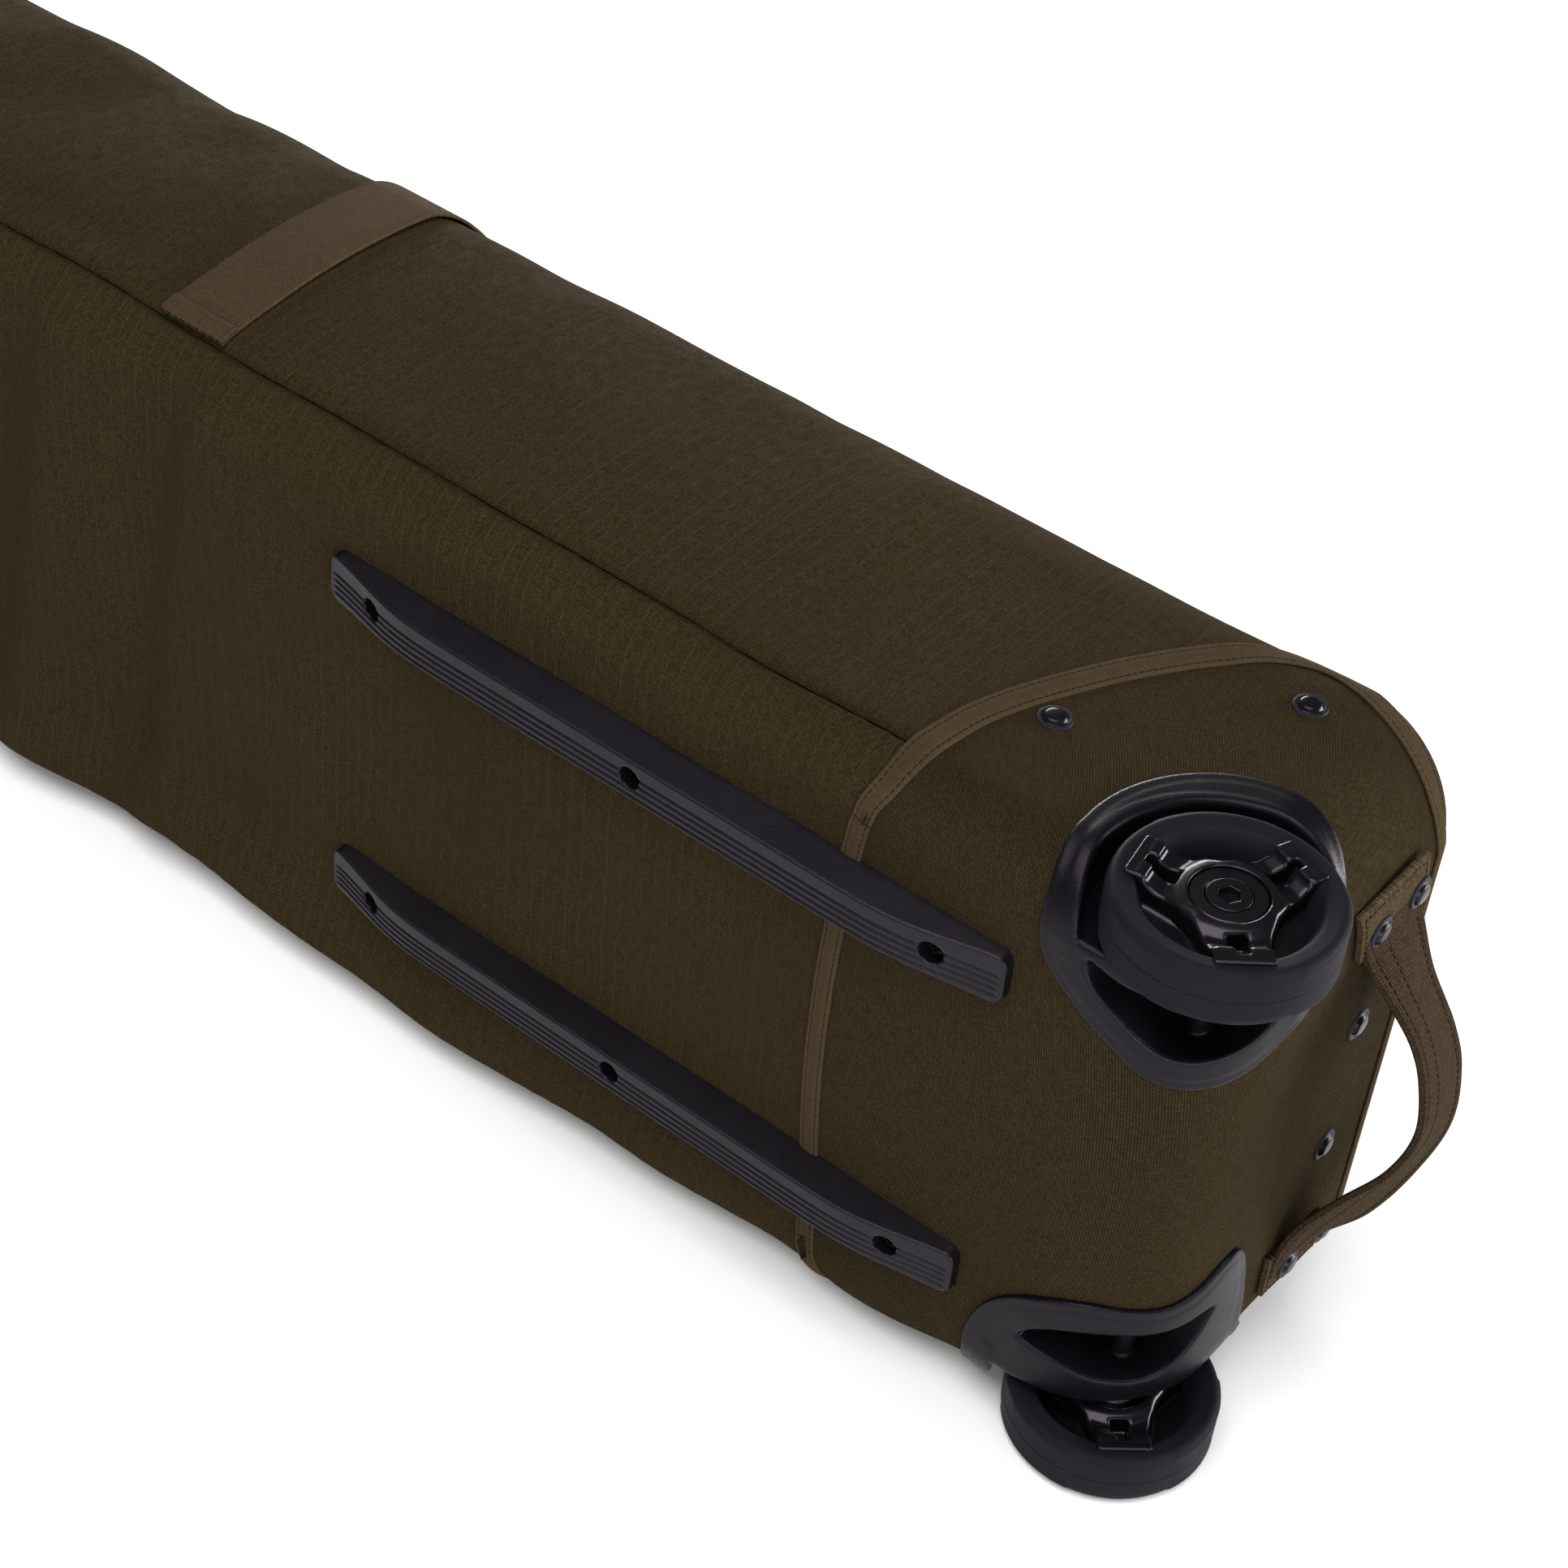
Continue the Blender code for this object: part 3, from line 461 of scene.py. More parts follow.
def turned(name, profile, at, axis="z", segments=48, sign=1, weave=False):
    """Turns (r, h) points about an axis through at; open ends are closed."""
    prof = np.asarray(profile, float)
    n = len(prof)
    t = 2 * math.pi * np.arange(segments) / segments
    r, h = prof[:, 0][None], prof[:, 1][None]
    c, s = np.cos(t)[:, None], np.sin(t)[:, None]
    a, b, hh = r * c, r * s, h + 0 * c
    if axis == "z":
        v = np.stack([a, sign * b, sign * hh], -1)
    elif axis == "x":
        v = np.stack([sign * hh, a, sign * b], -1)
    else:
        v = np.stack([a, sign * hh, -sign * b], -1)
    v = v.reshape(-1, 3) + np.asarray(at, float)
    q = []
    for k in range(segments):
        m = (k + 1) % segments
        i = np.arange(n - 1)
        q.append(np.stack([k * n + i, m * n + i, m * n + i + 1, k * n + i + 1], 1))
    tris, caps = [], []
    if prof[0, 0] > 1e-6 or prof[-1, 0] > 1e-6:
        v = np.vstack([v, np.mean(v[0::n][:segments], 0), np.mean(v[n - 1::n][:segments], 0)])
        k = np.arange(segments)
        m = (k + 1) % segments
        tris = np.vstack([np.stack([m * n, k * n, 0 * k + segments * n], 1),
                          np.stack([k * n + n - 1, m * n + n - 1, 0 * k + segments * n + 1], 1)])
    ob = clean(mesh(name, v, np.vstack(q), tris))
    ob.data.set_sharp_from_angle(angle=math.radians(28.0))
    return ob


def ribbon(name, path, normal, width, thick, edge=0.8, across=9, closed=False, lift=0.0,
           crown=0.0, taper=None, seat=None, sides=None, relief=None):
    """A flat strap along a path: rounded edges, the same width all along unless sides
    gives each place's own half width as a vector."""
    path, normal = np.asarray(path, float), unit(np.asarray(normal, float))
    n = len(path)
    if closed:
        tan = unit(np.roll(path, -1, 0) - np.roll(path, 1, 0))
    else:
        tan = unit(np.gradient(path, axis=0))
    side = unit(np.cross(normal, tan))
    w = np.linspace(-1, 1, across)
    prof = [(u * (width / 2 - edge * 0.35), thick) for u in w]
    prof += [(width / 2, thick * 0.62), (width / 2, thick * 0.3)]
    prof += [(u * (width / 2 - edge * 0.35), 0.0) for u in w[::-1]]
    prof += [(-width / 2, thick * 0.3), (-width / 2, thick * 0.62)]
    prof = np.asarray(prof)
    m = len(prof)
    scale = np.ones(n) if taper is None else np.asarray(taper)
    u = prof[:, 0][None] * scale[:, None]
    h = prof[:, 1][None] + lift + crown * (1 - (prof[:, 0][None] / (width / 2)) ** 2)
    h = h + 0 * u
    if relief is not None:
        top = np.arange(m)[None] < across
        h = h + np.where(top, relief(prof[:, 0] / (width / 2))[None], 0.0)
    if sides is not None:
        v = (path[:, None] + np.asarray(sides)[:, None] * (prof[:, 0] / (width / 2))[None, :, None]
             + normal[:, None] * h[..., None])
    else:
        v = path[:, None] + side[:, None] * u[..., None] + normal[:, None] * h[..., None]
    if seat is not None:
        flat = v.reshape(-1, 3)
        v = seat(flat, h.reshape(-1)).reshape(n, m, 3)
    s = lengths(path)
    weave = np.stack([np.repeat(s[:, None], m, 1), np.repeat(prof[:, 0][None], n, 0)], -1)
    i, j = np.meshgrid(np.arange(n if closed else n - 1), np.arange(m), indexing="ij")
    k, l = (i + 1) % n, (j + 1) % m
    q = np.stack([i * m + j, i * m + l, k * m + l, k * m + j], -1).reshape(-1, 4)
    tris = []
    vv = v.reshape(-1, 3)
    ww = weave.reshape(-1, 2)
    if not closed:
        # end caps as strips between top and bottom
        a = across
        caps = []
        for base, flip in ((0, False), ((n - 1) * m, True)):
            for c in range(a - 1):
                quad = [base + c, base + c + 1, base + 2 * a + 2 - 2 - c, base + 2 * a + 2 - 1 - c]
                caps.append(quad[::-1] if flip else quad)
            tr = [[base + a - 1, base + a, base + a + 2], [base + a, base + a + 1, base + a + 2],
                  [base + 2 * a + 1, base + 2 * a + 2, base], [base + 2 * a + 2, base + 2 * a + 3, base]]
            tris += [t[::-1] if flip else t for t in tr]
        q = np.vstack([q, np.asarray(caps)])
    ob = mesh(name, vv, q, tris, weave=ww)
    return clean(ob)


def nets(name, f, lo, hi, cell, rounds=2, mirror=False):
    """Skins the solid f < 0 inside a box with quads (surface nets)."""
    lo, hi = np.asarray(lo, float), np.asarray(hi, float)
    cell = np.asarray(cell, float) * np.ones(3)
    n = np.ceil((hi - lo) / cell).astype(int) + 1
    ax = [lo[i] + cell[i] * np.arange(n[i]) for i in range(3)]
    F = f(ax[0][:, None, None], ax[1][None, :, None], ax[2][None, None, :])
    s = F < 0
    count = np.zeros(n - 1, np.int8)
    for a in (0, 1):
        for b in (0, 1):
            for c in (0, 1):
                count += s[a:n[0] - 1 + a, b:n[1] - 1 + b, c:n[2] - 1 + c]
    act = (count > 0) & (count < 8)
    ids = np.full(n - 1, -1, np.int64)
    ids[act] = np.arange(int(act.sum()))
    I = np.argwhere(act)
    P, W = np.zeros((len(I), 3)), np.zeros(len(I))
    for axis in range(3):
        o = [k for k in range(3) if k != axis]
        for du in (0, 1):
            for dv in (0, 1):
                a = I.copy(); a[:, o[0]] += du; a[:, o[1]] += dv
                b = a.copy(); b[:, axis] += 1
                fa, fb = F[tuple(a.T)], F[tuple(b.T)]
                hit = (fa < 0) != (fb < 0)
                p = a[hit].astype(float)
                p[:, axis] += fa[hit] / (fa[hit] - fb[hit])
                P[hit] += p
                W[hit] += 1
    P = P / W[:, None] * cell + lo
    for _ in range(rounds):
        g = slope_of(f, P, 0.2 * cell.min())
        v = f(P[:, 0], P[:, 1], P[:, 2])
        move = g * (v / np.maximum((g * g).sum(1), 0.05))[:, None]
        P -= np.clip(move, -0.6 * cell, 0.6 * cell)
    quads = []
    for axis in range(3):
        o1, o2 = (axis + 1) % 3, (axis + 2) % 3
        lo_s = [slice(None)] * 3; hi_s = [slice(None)] * 3
        lo_s[axis] = slice(0, -1); hi_s[axis] = slice(1, None)
        a, b = s[tuple(lo_s)], s[tuple(hi_s)]
        E = np.argwhere(a != b)
        ok = (E[:, o1] > 0) & (E[:, o2] > 0) & (E[:, o1] < n[o1] - 1) & (E[:, o2] < n[o2] - 1)
        E = E[ok]
        inside = a[tuple(E.T)]
        c = []
        for d1, d2 in ((1, 1), (0, 1), (0, 0), (1, 0)):
            k = E.copy(); k[:, o1] -= d1; k[:, o2] -= d2
            c.append(ids[tuple(k.T)])
        q = np.stack(c, 1)
        q[~inside] = q[~inside][:, ::-1]
        quads.append(q)
    quads = np.vstack(quads)
    if mirror:
        P = P * (1, 1, -1)
        quads = quads[:, ::-1]
    return mesh(name, P, quads)


def flip_z(ob, name):
    new = bpy.data.objects.new(name, ob.data.copy())
    n = len(new.data.vertices)
    co = np.zeros(n * 3, np.float32)
    new.data.vertices.foreach_get("co", co)
    co = co.reshape(-1, 3)
    co[:, 2] = 2 * ROW[2] * 0.001 - co[:, 2]
    new.data.vertices.foreach_set("co", co.ravel())
    new.data.flip_normals()
    SCENE.collection.objects.link(new)
    return new


def gather(name, obs):
    """One mesh object from several."""
    bm = bmesh.new()
    for ob in obs:
        bm.from_mesh(ob.data)
    first = obs[0].data
    me = bpy.data.meshes.new(name)
    bm.to_mesh(me)
    bm.free()
    for ob in obs:
        old = ob.data
        bpy.data.objects.remove(ob, do_unlink=True)
        bpy.data.meshes.remove(old)
    me.polygons.foreach_set("use_smooth", np.ones(len(me.polygons), bool))
    ob = bpy.data.objects.new(name, me)
    SCENE.collection.objects.link(ob)
    return ob


# ---- materials ------------------------------------------------------------------------------
class Tree:
    """Short hand for building a material's nodes."""

    def __init__(self, name):
        self.mat = bpy.data.materials.new(name)
        self.mat.use_nodes = True
        self.t = self.mat.node_tree
        self.bsdf = self.t.nodes["Principled BSDF"]

    def node(self, kind, **values):
        n = self.t.nodes.new(kind)
        for k, v in values.items():
            setattr(n, k, v)
        return n

    def put(self, socket, value):
        if isinstance(value, bpy.types.NodeSocket):
            self.t.links.new(value, socket)
        else:
            socket.default_value = value

    def math(self, op, a, b=None, c=None, clamp=False):
        n = self.node("ShaderNodeMath", operation=op, use_clamp=clamp)
        for i, v in enumerate((a, b, c)):
            if v is not None:
                self.put(n.inputs[i], v)
        return n.outputs[0]

    def vector(self, x, y, z=0.0):
        n = self.node("ShaderNodeCombineXYZ")
        for i, v in enumerate((x, y, z)):
            self.put(n.inputs[i], v)
        return n.outputs[0]

    def weave(self):
        a = self.node("ShaderNodeAttribute", attribute_name="weave")
        s = self.node("ShaderNodeSeparateXYZ")
        self.put(s.inputs[0], a.outputs["Vector"])
        return s.outputs[0], s.outputs[1]

    def place(self):
        return self.node("ShaderNodeTexCoord").outputs["Object"]

    def noise(self, vec, scale, detail=2.0, rough=0.5, warp=0.0):
        n = self.node("ShaderNodeTexNoise")
        self.put(n.inputs["Vector"], vec)
        n.inputs["Scale"].default_value = scale
        n.inputs["Detail"].default_value = detail
        n.inputs["Roughness"].default_value = rough
        n.inputs["Distortion"].default_value = warp
        return n.outputs["Fac"]

    def cells(self, vec, scale):
        n = self.node("ShaderNodeTexVoronoi")
        self.put(n.inputs["Vector"], vec)
        n.inputs["Scale"].default_value = scale
        return n.outputs["Distance"]

    def band(self, v, lo, hi, a=0.0, b=1.0):
        n = self.node("ShaderNodeMapRange", interpolation_type="SMOOTHSTEP")
        self.put(n.inputs["Value"], v)
        n.inputs["From Min"].default_value = lo
        n.inputs["From Max"].default_value = hi
        n.inputs["To Min"].default_value = a
        n.inputs["To Max"].default_value = b
        return n.outputs["Result"]

    def mix(self, fac, a, b):
        n = self.node("ShaderNodeMix", data_type="RGBA")
        self.put(n.inputs["Factor"], fac)
        for sock, v in ((n.inputs[6], a), (n.inputs[7], b)):
            self.put(sock, v if isinstance(v, bpy.types.NodeSocket) else (*v, 1.0))
        return n.outputs[2]

    def bump(self, height, strength, distance, normal=None):
        n = self.node("ShaderNodeBump")
        self.put(n.inputs["Height"], height)
        n.inputs["Strength"].default_value = strength
        n.inputs["Distance"].default_value = distance
        if normal is not None:
            self.put(n.inputs["Normal"], normal)
        return n.outputs["Normal"]

    def cloth(self, pitch_u, pitch_v, kind="plain"):
        """Height of woven yarns, 0 to 1."""
        u, v = self.weave()
        U = self.math("DIVIDE", u, pitch_u)
        V = self.math("DIVIDE", v, pitch_v)
        pu = self.math("SINE", self.math("MULTIPLY", self.math("FRACT", U), math.pi))
        pv = self.math("SINE", self.math("MULTIPLY", self.math("FRACT", V), math.pi))
        both = self.math("ADD", self.math("FLOOR", U), self.math("FLOOR", V))
        if kind == "plain":
            sel = self.math("FLOORED_MODULO", both, 2.0)
        else:
            sel = self.math("LESS_THAN", self.math("FLOORED_MODULO", both, 4.0), 1.5)
        a = self.math("MULTIPLY", pu, self.math("MULTIPLY_ADD", pv, 0.5, 0.5))
        b = self.math("MULTIPLY", pv, self.math("MULTIPLY_ADD", pu, 0.5, 0.5))
        rest = self.math("SUBTRACT", 1.0, sel)
        return self.math("ADD", self.math("MULTIPLY", a, sel), self.math("MULTIPLY", b, rest))

    def speck(self, pitch_u, pitch_v):
        """A value of its own for each crossing of the yarns, 0 to 1."""
        u, v = self.weave()
        n = self.node("ShaderNodeTexWhiteNoise", noise_dimensions="2D")
        self.put(n.inputs["Vector"], self.vector(self.math("FLOOR", self.math("DIVIDE", u, pitch_u)),
                                                 self.math("FLOOR", self.math("DIVIDE", v, pitch_v))))
        return n.outputs["Value"]

    def done(self, colour=None, rough=None, normal=None, **sockets):
        if colour is not None:
            self.put(self.bsdf.inputs["Base Color"],
                     colour if isinstance(colour, bpy.types.NodeSocket) else (*colour, 1.0))
        if rough is not None:
            self.put(self.bsdf.inputs["Roughness"], rough)
        if normal is not None:
            self.put(self.bsdf.inputs["Normal"], normal)
        for k, v in sockets.items():
            self.bsdf.inputs[k.replace("_", " ")].default_value = v
        return self.mat


def tone(c, k):
    return tuple(max(0.0, x * k) for x in c)


def fabric(name, base, pitch_u, pitch_v, kind="plain", slub=0.0, fine=1.0, sheen=0.04, gap_shade=0.26, mixed=0.28):
    t = Tree(name)
    h = t.cloth(pitch_u, pitch_v, kind)
    u, v = t.weave()
    place = t.place()
    # painted shade and painted highlight: the colour follows the weave's height h, darker in the gaps between the yarns
    # and lighter on their crests
    dark, light = tone(base, gap_shade), tone(base, 1.95 - 0.85 * gap_shade)
    # each crossing of the yarns is a little lighter or darker than the next
    speck = t.speck(pitch_u, pitch_v)
    col = t.mix(speck, t.mix(h, tone(dark, 1 - mixed), tone(light, 1 - mixed)),
                t.mix(h, tone(dark, 1 + mixed), tone(light, 1 + mixed)))
    if slub:
        # thicker yarns across the cloth every few millimetres, broken into dots by the weave
        line = t.math("ADD", t.math("DIVIDE", u, 0.0068),
                      t.math("MULTIPLY", t.noise(t.vector(u, 0.0, 0.0), 60.0, 1.0), 1.2))
        line = t.math("ABSOLUTE", t.math("SUBTRACT", t.math("FRACT", line), 0.5))
        rib = t.band(line, 0.07, 0.035)
        dots = t.math("ABSOLUTE", t.math("SINE", t.math("MULTIPLY", v, math.pi / (2 * pitch_v))))
        rib = t.math("MULTIPLY", rib, t.band(dots, 0.25, 0.8, 0.25, 1.0))
        patch = t.noise(place, 11.0, 1.0)
        rib = t.math("MULTIPLY", rib, t.band(patch, 0.3, 0.7, 0.45, 1.0))
        col = t.mix(t.math("MULTIPLY", rib, slub), col, tone(base, 2.1))
    yarn = t.noise(t.vector(t.math("MULTIPLY", u, 1500.0), t.math("MULTIPLY", v, 90.0)), 1.0, 1.0)
    col = t.mix(t.band(yarn, 0.4, 0.75, 0.0, 0.30), col, tone(base, 0.72))
    big = t.noise(place, 9.0, 3.0, 0.55)
    col = t.mix(t.band(big, 0.35, 0.7, 0.0, 0.25), col, tone(base, 0.84))
    dust = t.noise(place, 46.0, 4.0, 0.6)
    col = t.mix(t.band(dust, 0.55, 0.8, 0.0, 0.10), col, tone(base, 1.4))
    rough = t.band(t.noise(place, 160.0, 2.0), 0.3, 0.7, 0.78, 0.95)
    n = t.bump(t.noise(place, 320.0, 2.0), 0.10, 0.0006)
    n = t.bump(h, 0.85 * fine, 0.00045, n)
    t.bsdf.inputs["Sheen Tint"].default_value = (*(min(1.0, 9.0 * c) for c in base), 1.0)
    return t.done(col, rough, n, Sheen_Weight=sheen, Sheen_Roughness=0.35, Specular_IOR_Level=0.02)


def plastic(name, base, rough, grain=0.5, scale=1500.0, spec=0.5, coat=0.0):
    t = Tree(name)
    place = t.place()
    fine = t.noise(place, scale, 2.0, 0.6)
    pits = t.cells(place, scale * 0.8)
    big = t.noise(place, 30.0, 3.0, 0.55)
    scuff = t.noise(place, 210.0, 5.0, 0.65, 0.6)
    col = t.mix(t.band(big, 0.35, 0.7, 0.0, 0.5), tone(base, 1.12), tone(base, 0.85))
    col = t.mix(t.band(scuff, 0.62, 0.78, 0.0, 0.25), col, tone(base, 1.9))
    r = t.math("ADD", t.band(big, 0.3, 0.7, rough - 0.04, rough + 0.04),
               t.band(fine, 0.3, 0.7, -0.05 * grain, 0.07 * grain), clamp=True)
    n = t.bump(t.math("ADD", fine, t.math("MULTIPLY", pits, 0.6)), 0.28 * grain, 0.00022)
    t.bsdf.inputs["Specular Tint"].default_value = (0.97, 0.86, 1.0, 1.0)
    return t.done(col, r, n, Specular_IOR_Level=spec, Coat_Weight=coat)


def metal(name, base, rough, line=0.0):
    t = Tree(name)
    place = t.place()
    big = t.noise(place, 120.0, 3.0, 0.6)
    fine = t.noise(place, 2600.0, 2.0, 0.6)
    col = t.mix(t.band(big, 0.35, 0.7, 0.0, 0.5), tone(base, 1.1), tone(base, 0.75))
    r = t.band(big, 0.3, 0.7, rough * 0.8, rough * 1.3)
    n = t.bump(fine, 0.06, 0.0002)
    return t.done(col, r, n, Metallic=1.0)


OLIVE = (0.0275, 0.0190, 0.0085)
CAP_OLIVE = (0.0270, 0.0192, 0.0089)
KHAKI = (0.074, 0.0512, 0.0282)
BROWN = (0.054, 0.0362, 0.0205)

M_BODY = fabric("bag_canvas", OLIVE, 0.00098, 0.00098, "plain", slub=0.5)
M_CAP = fabric("cap_canvas", CAP_OLIVE, 0.00120, 0.00120, "plain", fine=1.3, gap_shade=0.22, mixed=0.22)
M_TAPE = fabric("grosgrain", KHAKI, 0.00042, 0.05, "plain", fine=1.3, gap_shade=0.34, mixed=0.16)
M_TAPE_THREAD = fabric("tape_thread", tone(KHAKI, 0.26), 0.0004, 0.0004, "plain", fine=0.6)
M_WEB = fabric("strap_twill", BROWN, 0.0011, 0.0011, "twill", fine=1.2, mixed=0.14)
# painted shade: the handle's canvas is the tab's canvas made darker, standing in for the shade the handle stands in
M_HANDLE = fabric("handle_canvas", tone(BROWN, 0.66), 0.0013, 0.0013, "plain", fine=1.4)
M_TAB = fabric("tab_canvas", tone(BROWN, 0.92), 0.0013, 0.0013, "plain", fine=1.4)
M_THREAD = fabric("stitch_thread", (0.010, 0.008, 0.005), 0.0004, 0.0004, "plain", fine=0.6)
M_ZIPTAPE = fabric("zip_tape", tone(OLIVE, 0.75), 0.0007, 0.0007, "twill", fine=0.8)
M_MOULD = plastic("housing_moulding", (0.0027, 0.0023, 0.0034), 0.36, 1.0, spec=0.145)
M_RAIL = plastic("rail_moulding", (0.0026, 0.0023, 0.0033), 0.38, 0.9, spec=0.23)
M_HUB = plastic("hub_gloss", (0.0030, 0.0027, 0.0036), 0.25, 0.12, 900.0, 0.30, 0.0)
M_TYRE = plastic("tyre_rubber", (0.0082, 0.0072, 0.0097), 0.55, 0.7, 1100.0, 0.05)
M_COIL = plastic("zip_coil", (0.012, 0.011, 0.009), 0.38, 0.3)
M_BOARD = plastic("stiffener_sheet", (0.030, 0.029, 0.027), 0.5, 0.8, 700.0)
M_STEEL = metal("bright_steel", (0.52, 0.52, 0.54), 0.26)
M_DARK = metal("black_nickel", (0.030, 0.030, 0.036), 0.26)
M_RIVET = plastic("black_rivet", (0.0036, 0.0034, 0.0046), 0.27, 0.25, 1400.0, 0.16)
M_RING = plastic("rivet_washer", (0.0110, 0.0104, 0.0145), 0.48, 0.8, 1300.0, 0.10)
M_SCREW = metal("black_zinc", (0.012, 0.012, 0.013), 0.45)


def dress(ob, mat, body="bag", nodes=()):
    ob.data.materials.clear()
    ob.data.materials.append(mat)
    if body:
        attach(ob, body)
    if nodes:
        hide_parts(*nodes)
    return ob


# ---- fabric panels ---------------------------------------------------------------------------
EDGE = np.array([0.0, 0.8, 1.9, 3.4, 5.6])
WALL = 5.0


def shares(m, length):
    if length < 60:
        return np.linspace(0, 1, m)
    mid = np.linspace(8.6, length - 8.6, m - 2 * len(EDGE))
    return np.concatenate([EDGE, mid, length - EDGE[::-1]]) / length


def over_side(b, t, z_end, lower, n=140):
    """From b to t in the side view, up the side, then over the edge to height z_end."""
    u = np.linspace(0, 1, n)
    s = 1 - (1 - u) ** 2.4
    p = np.asarray(b)[None] * (1 - s[:, None]) + np.asarray(t)[None] * s[:, None]
    z = side_z(p[:, 0], p[:, 1], lower)
    pts = np.column_stack([p, z])
    if z_end is not None and z[-1] > z_end:
        zz = np.linspace(z[-1], z_end, 24)[1:]
        pts = np.vstack([pts, np.column_stack([np.full_like(zz, t[0]), np.full_like(zz, t[1]), zz])])
    if lower:
        pts[:, 2] *= -1
    return pts


def finish_grid(g):
    n, m, _ = g.shape
    p = g.reshape(-1, 3)
    return settle(p, hull_normal(p)).reshape(n, m, 3)


def run(g, axis):
    d = np.linalg.norm(np.diff(g, axis=axis), axis=2)
    z = np.zeros((1, g.shape[1]) if axis == 0 else (g.shape[0], 1))
    return np.concatenate([z, np.cumsum(d, axis=axis)], axis=axis)


def sew(g, seam, depth=2.3, welt=0.0):
    """Pulls a panel in beside a seam line, with a light pucker along it."""
    shape = g.shape
    nor = grid_normals(g)
    if np.sum(nor * hull_normal(g.reshape(-1, 3)).reshape(shape)) < 0:
        nor = -nor
    p, nor = g.reshape(-1, 3), nor.reshape(-1, 3)
    seam = np.asarray(seam, float)
    s = lengths(seam)
    tree = kdtree.KDTree(len(seam))
    for i, v in enumerate(seam):
        tree.insert(Vector(v), i)
    tree.balance()
    d, at = np.full(len(p), 99.0), np.zeros(len(p))
    near = np.ones(len(p), bool)
    for i in np.flatnonzero(near):
        _, k, e = tree.find(Vector(p[i]))
        d[i], at[i] = e, s[k]
    dip = depth * np.exp(-(d / 1.9) ** 2) + 0.25 * depth * np.exp(-d / 7.0)
    dip = dip - welt * np.exp(-((d - 4.0) / 1.9) ** 2)
    puck = 0.42 * np.exp(-d / 11.0) * np.sin(at / 2.6 + 1.6 * np.sin(at / 11.0)) * (1 - np.exp(-d / 2.0))
    return (p - nor * (dip - puck)[:, None]).reshape(shape)


def seam_line(lower):
    """The long seam between the underside and a side."""
    x = np.linspace(TIP_SEAM_X, -136.0, 1400)
    y = seam_y(x)
    p = np.column_stack([x, y, side_z(x, y, lower) * (-1 if lower else 1)])
    return settle(p, hull_normal(p))


def side_panel(lower):
    rows = []
    m = 74
    line = CAP_LOW if lower else CAP_LINE
    cap = line[line[:, 1] >= float(seam_y(-138.0))]
    xs = np.linspace(TIP_SEAM_X, cap[0, 0] - 0.3, 260)
    for x in xs:
        col = over_side((x, float(seam_y(x))), (x, LID_Y), LID_HALF, lower)
        rows.append(even(col, m, shares(m, lengths(col)[-1])))
    for x, y in even(cap, 96):
        top = LID_Y if x < END_X - TOP_FILLET else LID_Y - TOP_FILLET + math.sqrt(
            max(TOP_FILLET ** 2 - (x - END_X + TOP_FILLET) ** 2, 0.0))
        col = over_side((x, min(y, top)), (x, top), LID_HALF, lower)
        rows.append(even(col, m, shares(m, lengths(col)[-1])))
    g = finish_grid(np.stack(rows))
    g = sew(g, seam_line(lower))
    weave = np.stack([g[..., 0] + 0.0, run(g, 1) - run(g, 1)[:, -1:]], -1)
    name = "side_panel_lower_skin" if lower else "side_panel_upper_skin"
    ob = shell(name, g, WALL, weave, outward=hull_normal(g.reshape(-1, 3)).reshape(g.shape))
    return dress(ob, M_BODY, "bag", ["side_panel_lower" if lower else "side_panel_upper"])


def base_panel():
    n, m = 262, 84
    t = np.linspace(0, 1, 40)

    def section(x):
        ys = float(seam_y(x))
        out = []
        for lower in (True, False):
            h = float(half_width(np.array(x), np.array(lower)))
            top = math.acos(1 - (ys - UNDER_Y) / R_NEAR)
            a = top * (1 - t) if lower else top * t
            y = UNDER_Y + R_NEAR * (1 - np.cos(a))
            z = h - R_NEAR + R_NEAR * np.sin(a)
            out.append(np.column_stack([y, -z if lower else z]))
            if lower:
                h2 = HALF_W
                zz = np.linspace(-(h - R_NEAR), h2 - R_NEAR, 60)[1:-1]
                out.append(np.column_stack([np.full_like(zz, UNDER_Y), zz]))
        return np.vstack(out)

    rows = []
    for f in np.linspace(0, 1, n):
        p = section(TIP_SEAM_X + f * (-145.0 - TIP_SEAM_X))
        p = even(p, m, shares(m, lengths(p)[-1]))
        x = TIP_SEAM_X + f * (cap_edge_x(p[:, 1]) - TIP_SEAM_X)
        rows.append(np.column_stack([x, p]))
    g = finish_grid(np.stack(rows))
    g = sew(sew(g, seam_line(True), 2.8, 1.2), seam_line(False), 2.8, 1.2)
    weave = np.stack([g[..., 0], run(g, 1)], -1)
    out = hull_normal(g.reshape(-1, 3)).reshape(g.shape)
    nor = grid_normals(g)
    inner = g - nor * WALL * (1 if np.sum(nor * out) > 0 else -1)
    over = (np.abs(inner[..., 2]) < 116.0) & (inner[..., 0] > -1664.0)
    inner[..., 1] = np.where(over, np.minimum(inner[..., 1], -24.95), inner[..., 1])
    ob = shell("base_panel_skin", g, WALL, weave, outward=out, inner=inner)
    return dress(ob, M_BODY, "bag", ["base_panel"])


def lid_panel():
    n, m = 230, 60
    xs = np.linspace(LID_X0 + 0.4, LID_X1 - 0.4, n)
    zs = np.linspace(-LID_HALF + 0.4, LID_HALF - 0.2, m)
    g = np.stack(np.broadcast_arrays(xs[:, None], LID_Y, zs[None]), -1).astype(float)
    g = finish_grid(g)
    weave = np.stack([g[..., 0], g[..., 2]], -1)
    up = np.zeros_like(g); up[..., 1] = 1
    ob = shell("lid_panel_skin", g, WALL, weave, outward=up)
    return dress(ob, M_BODY, "lid", ["lid_panel"])


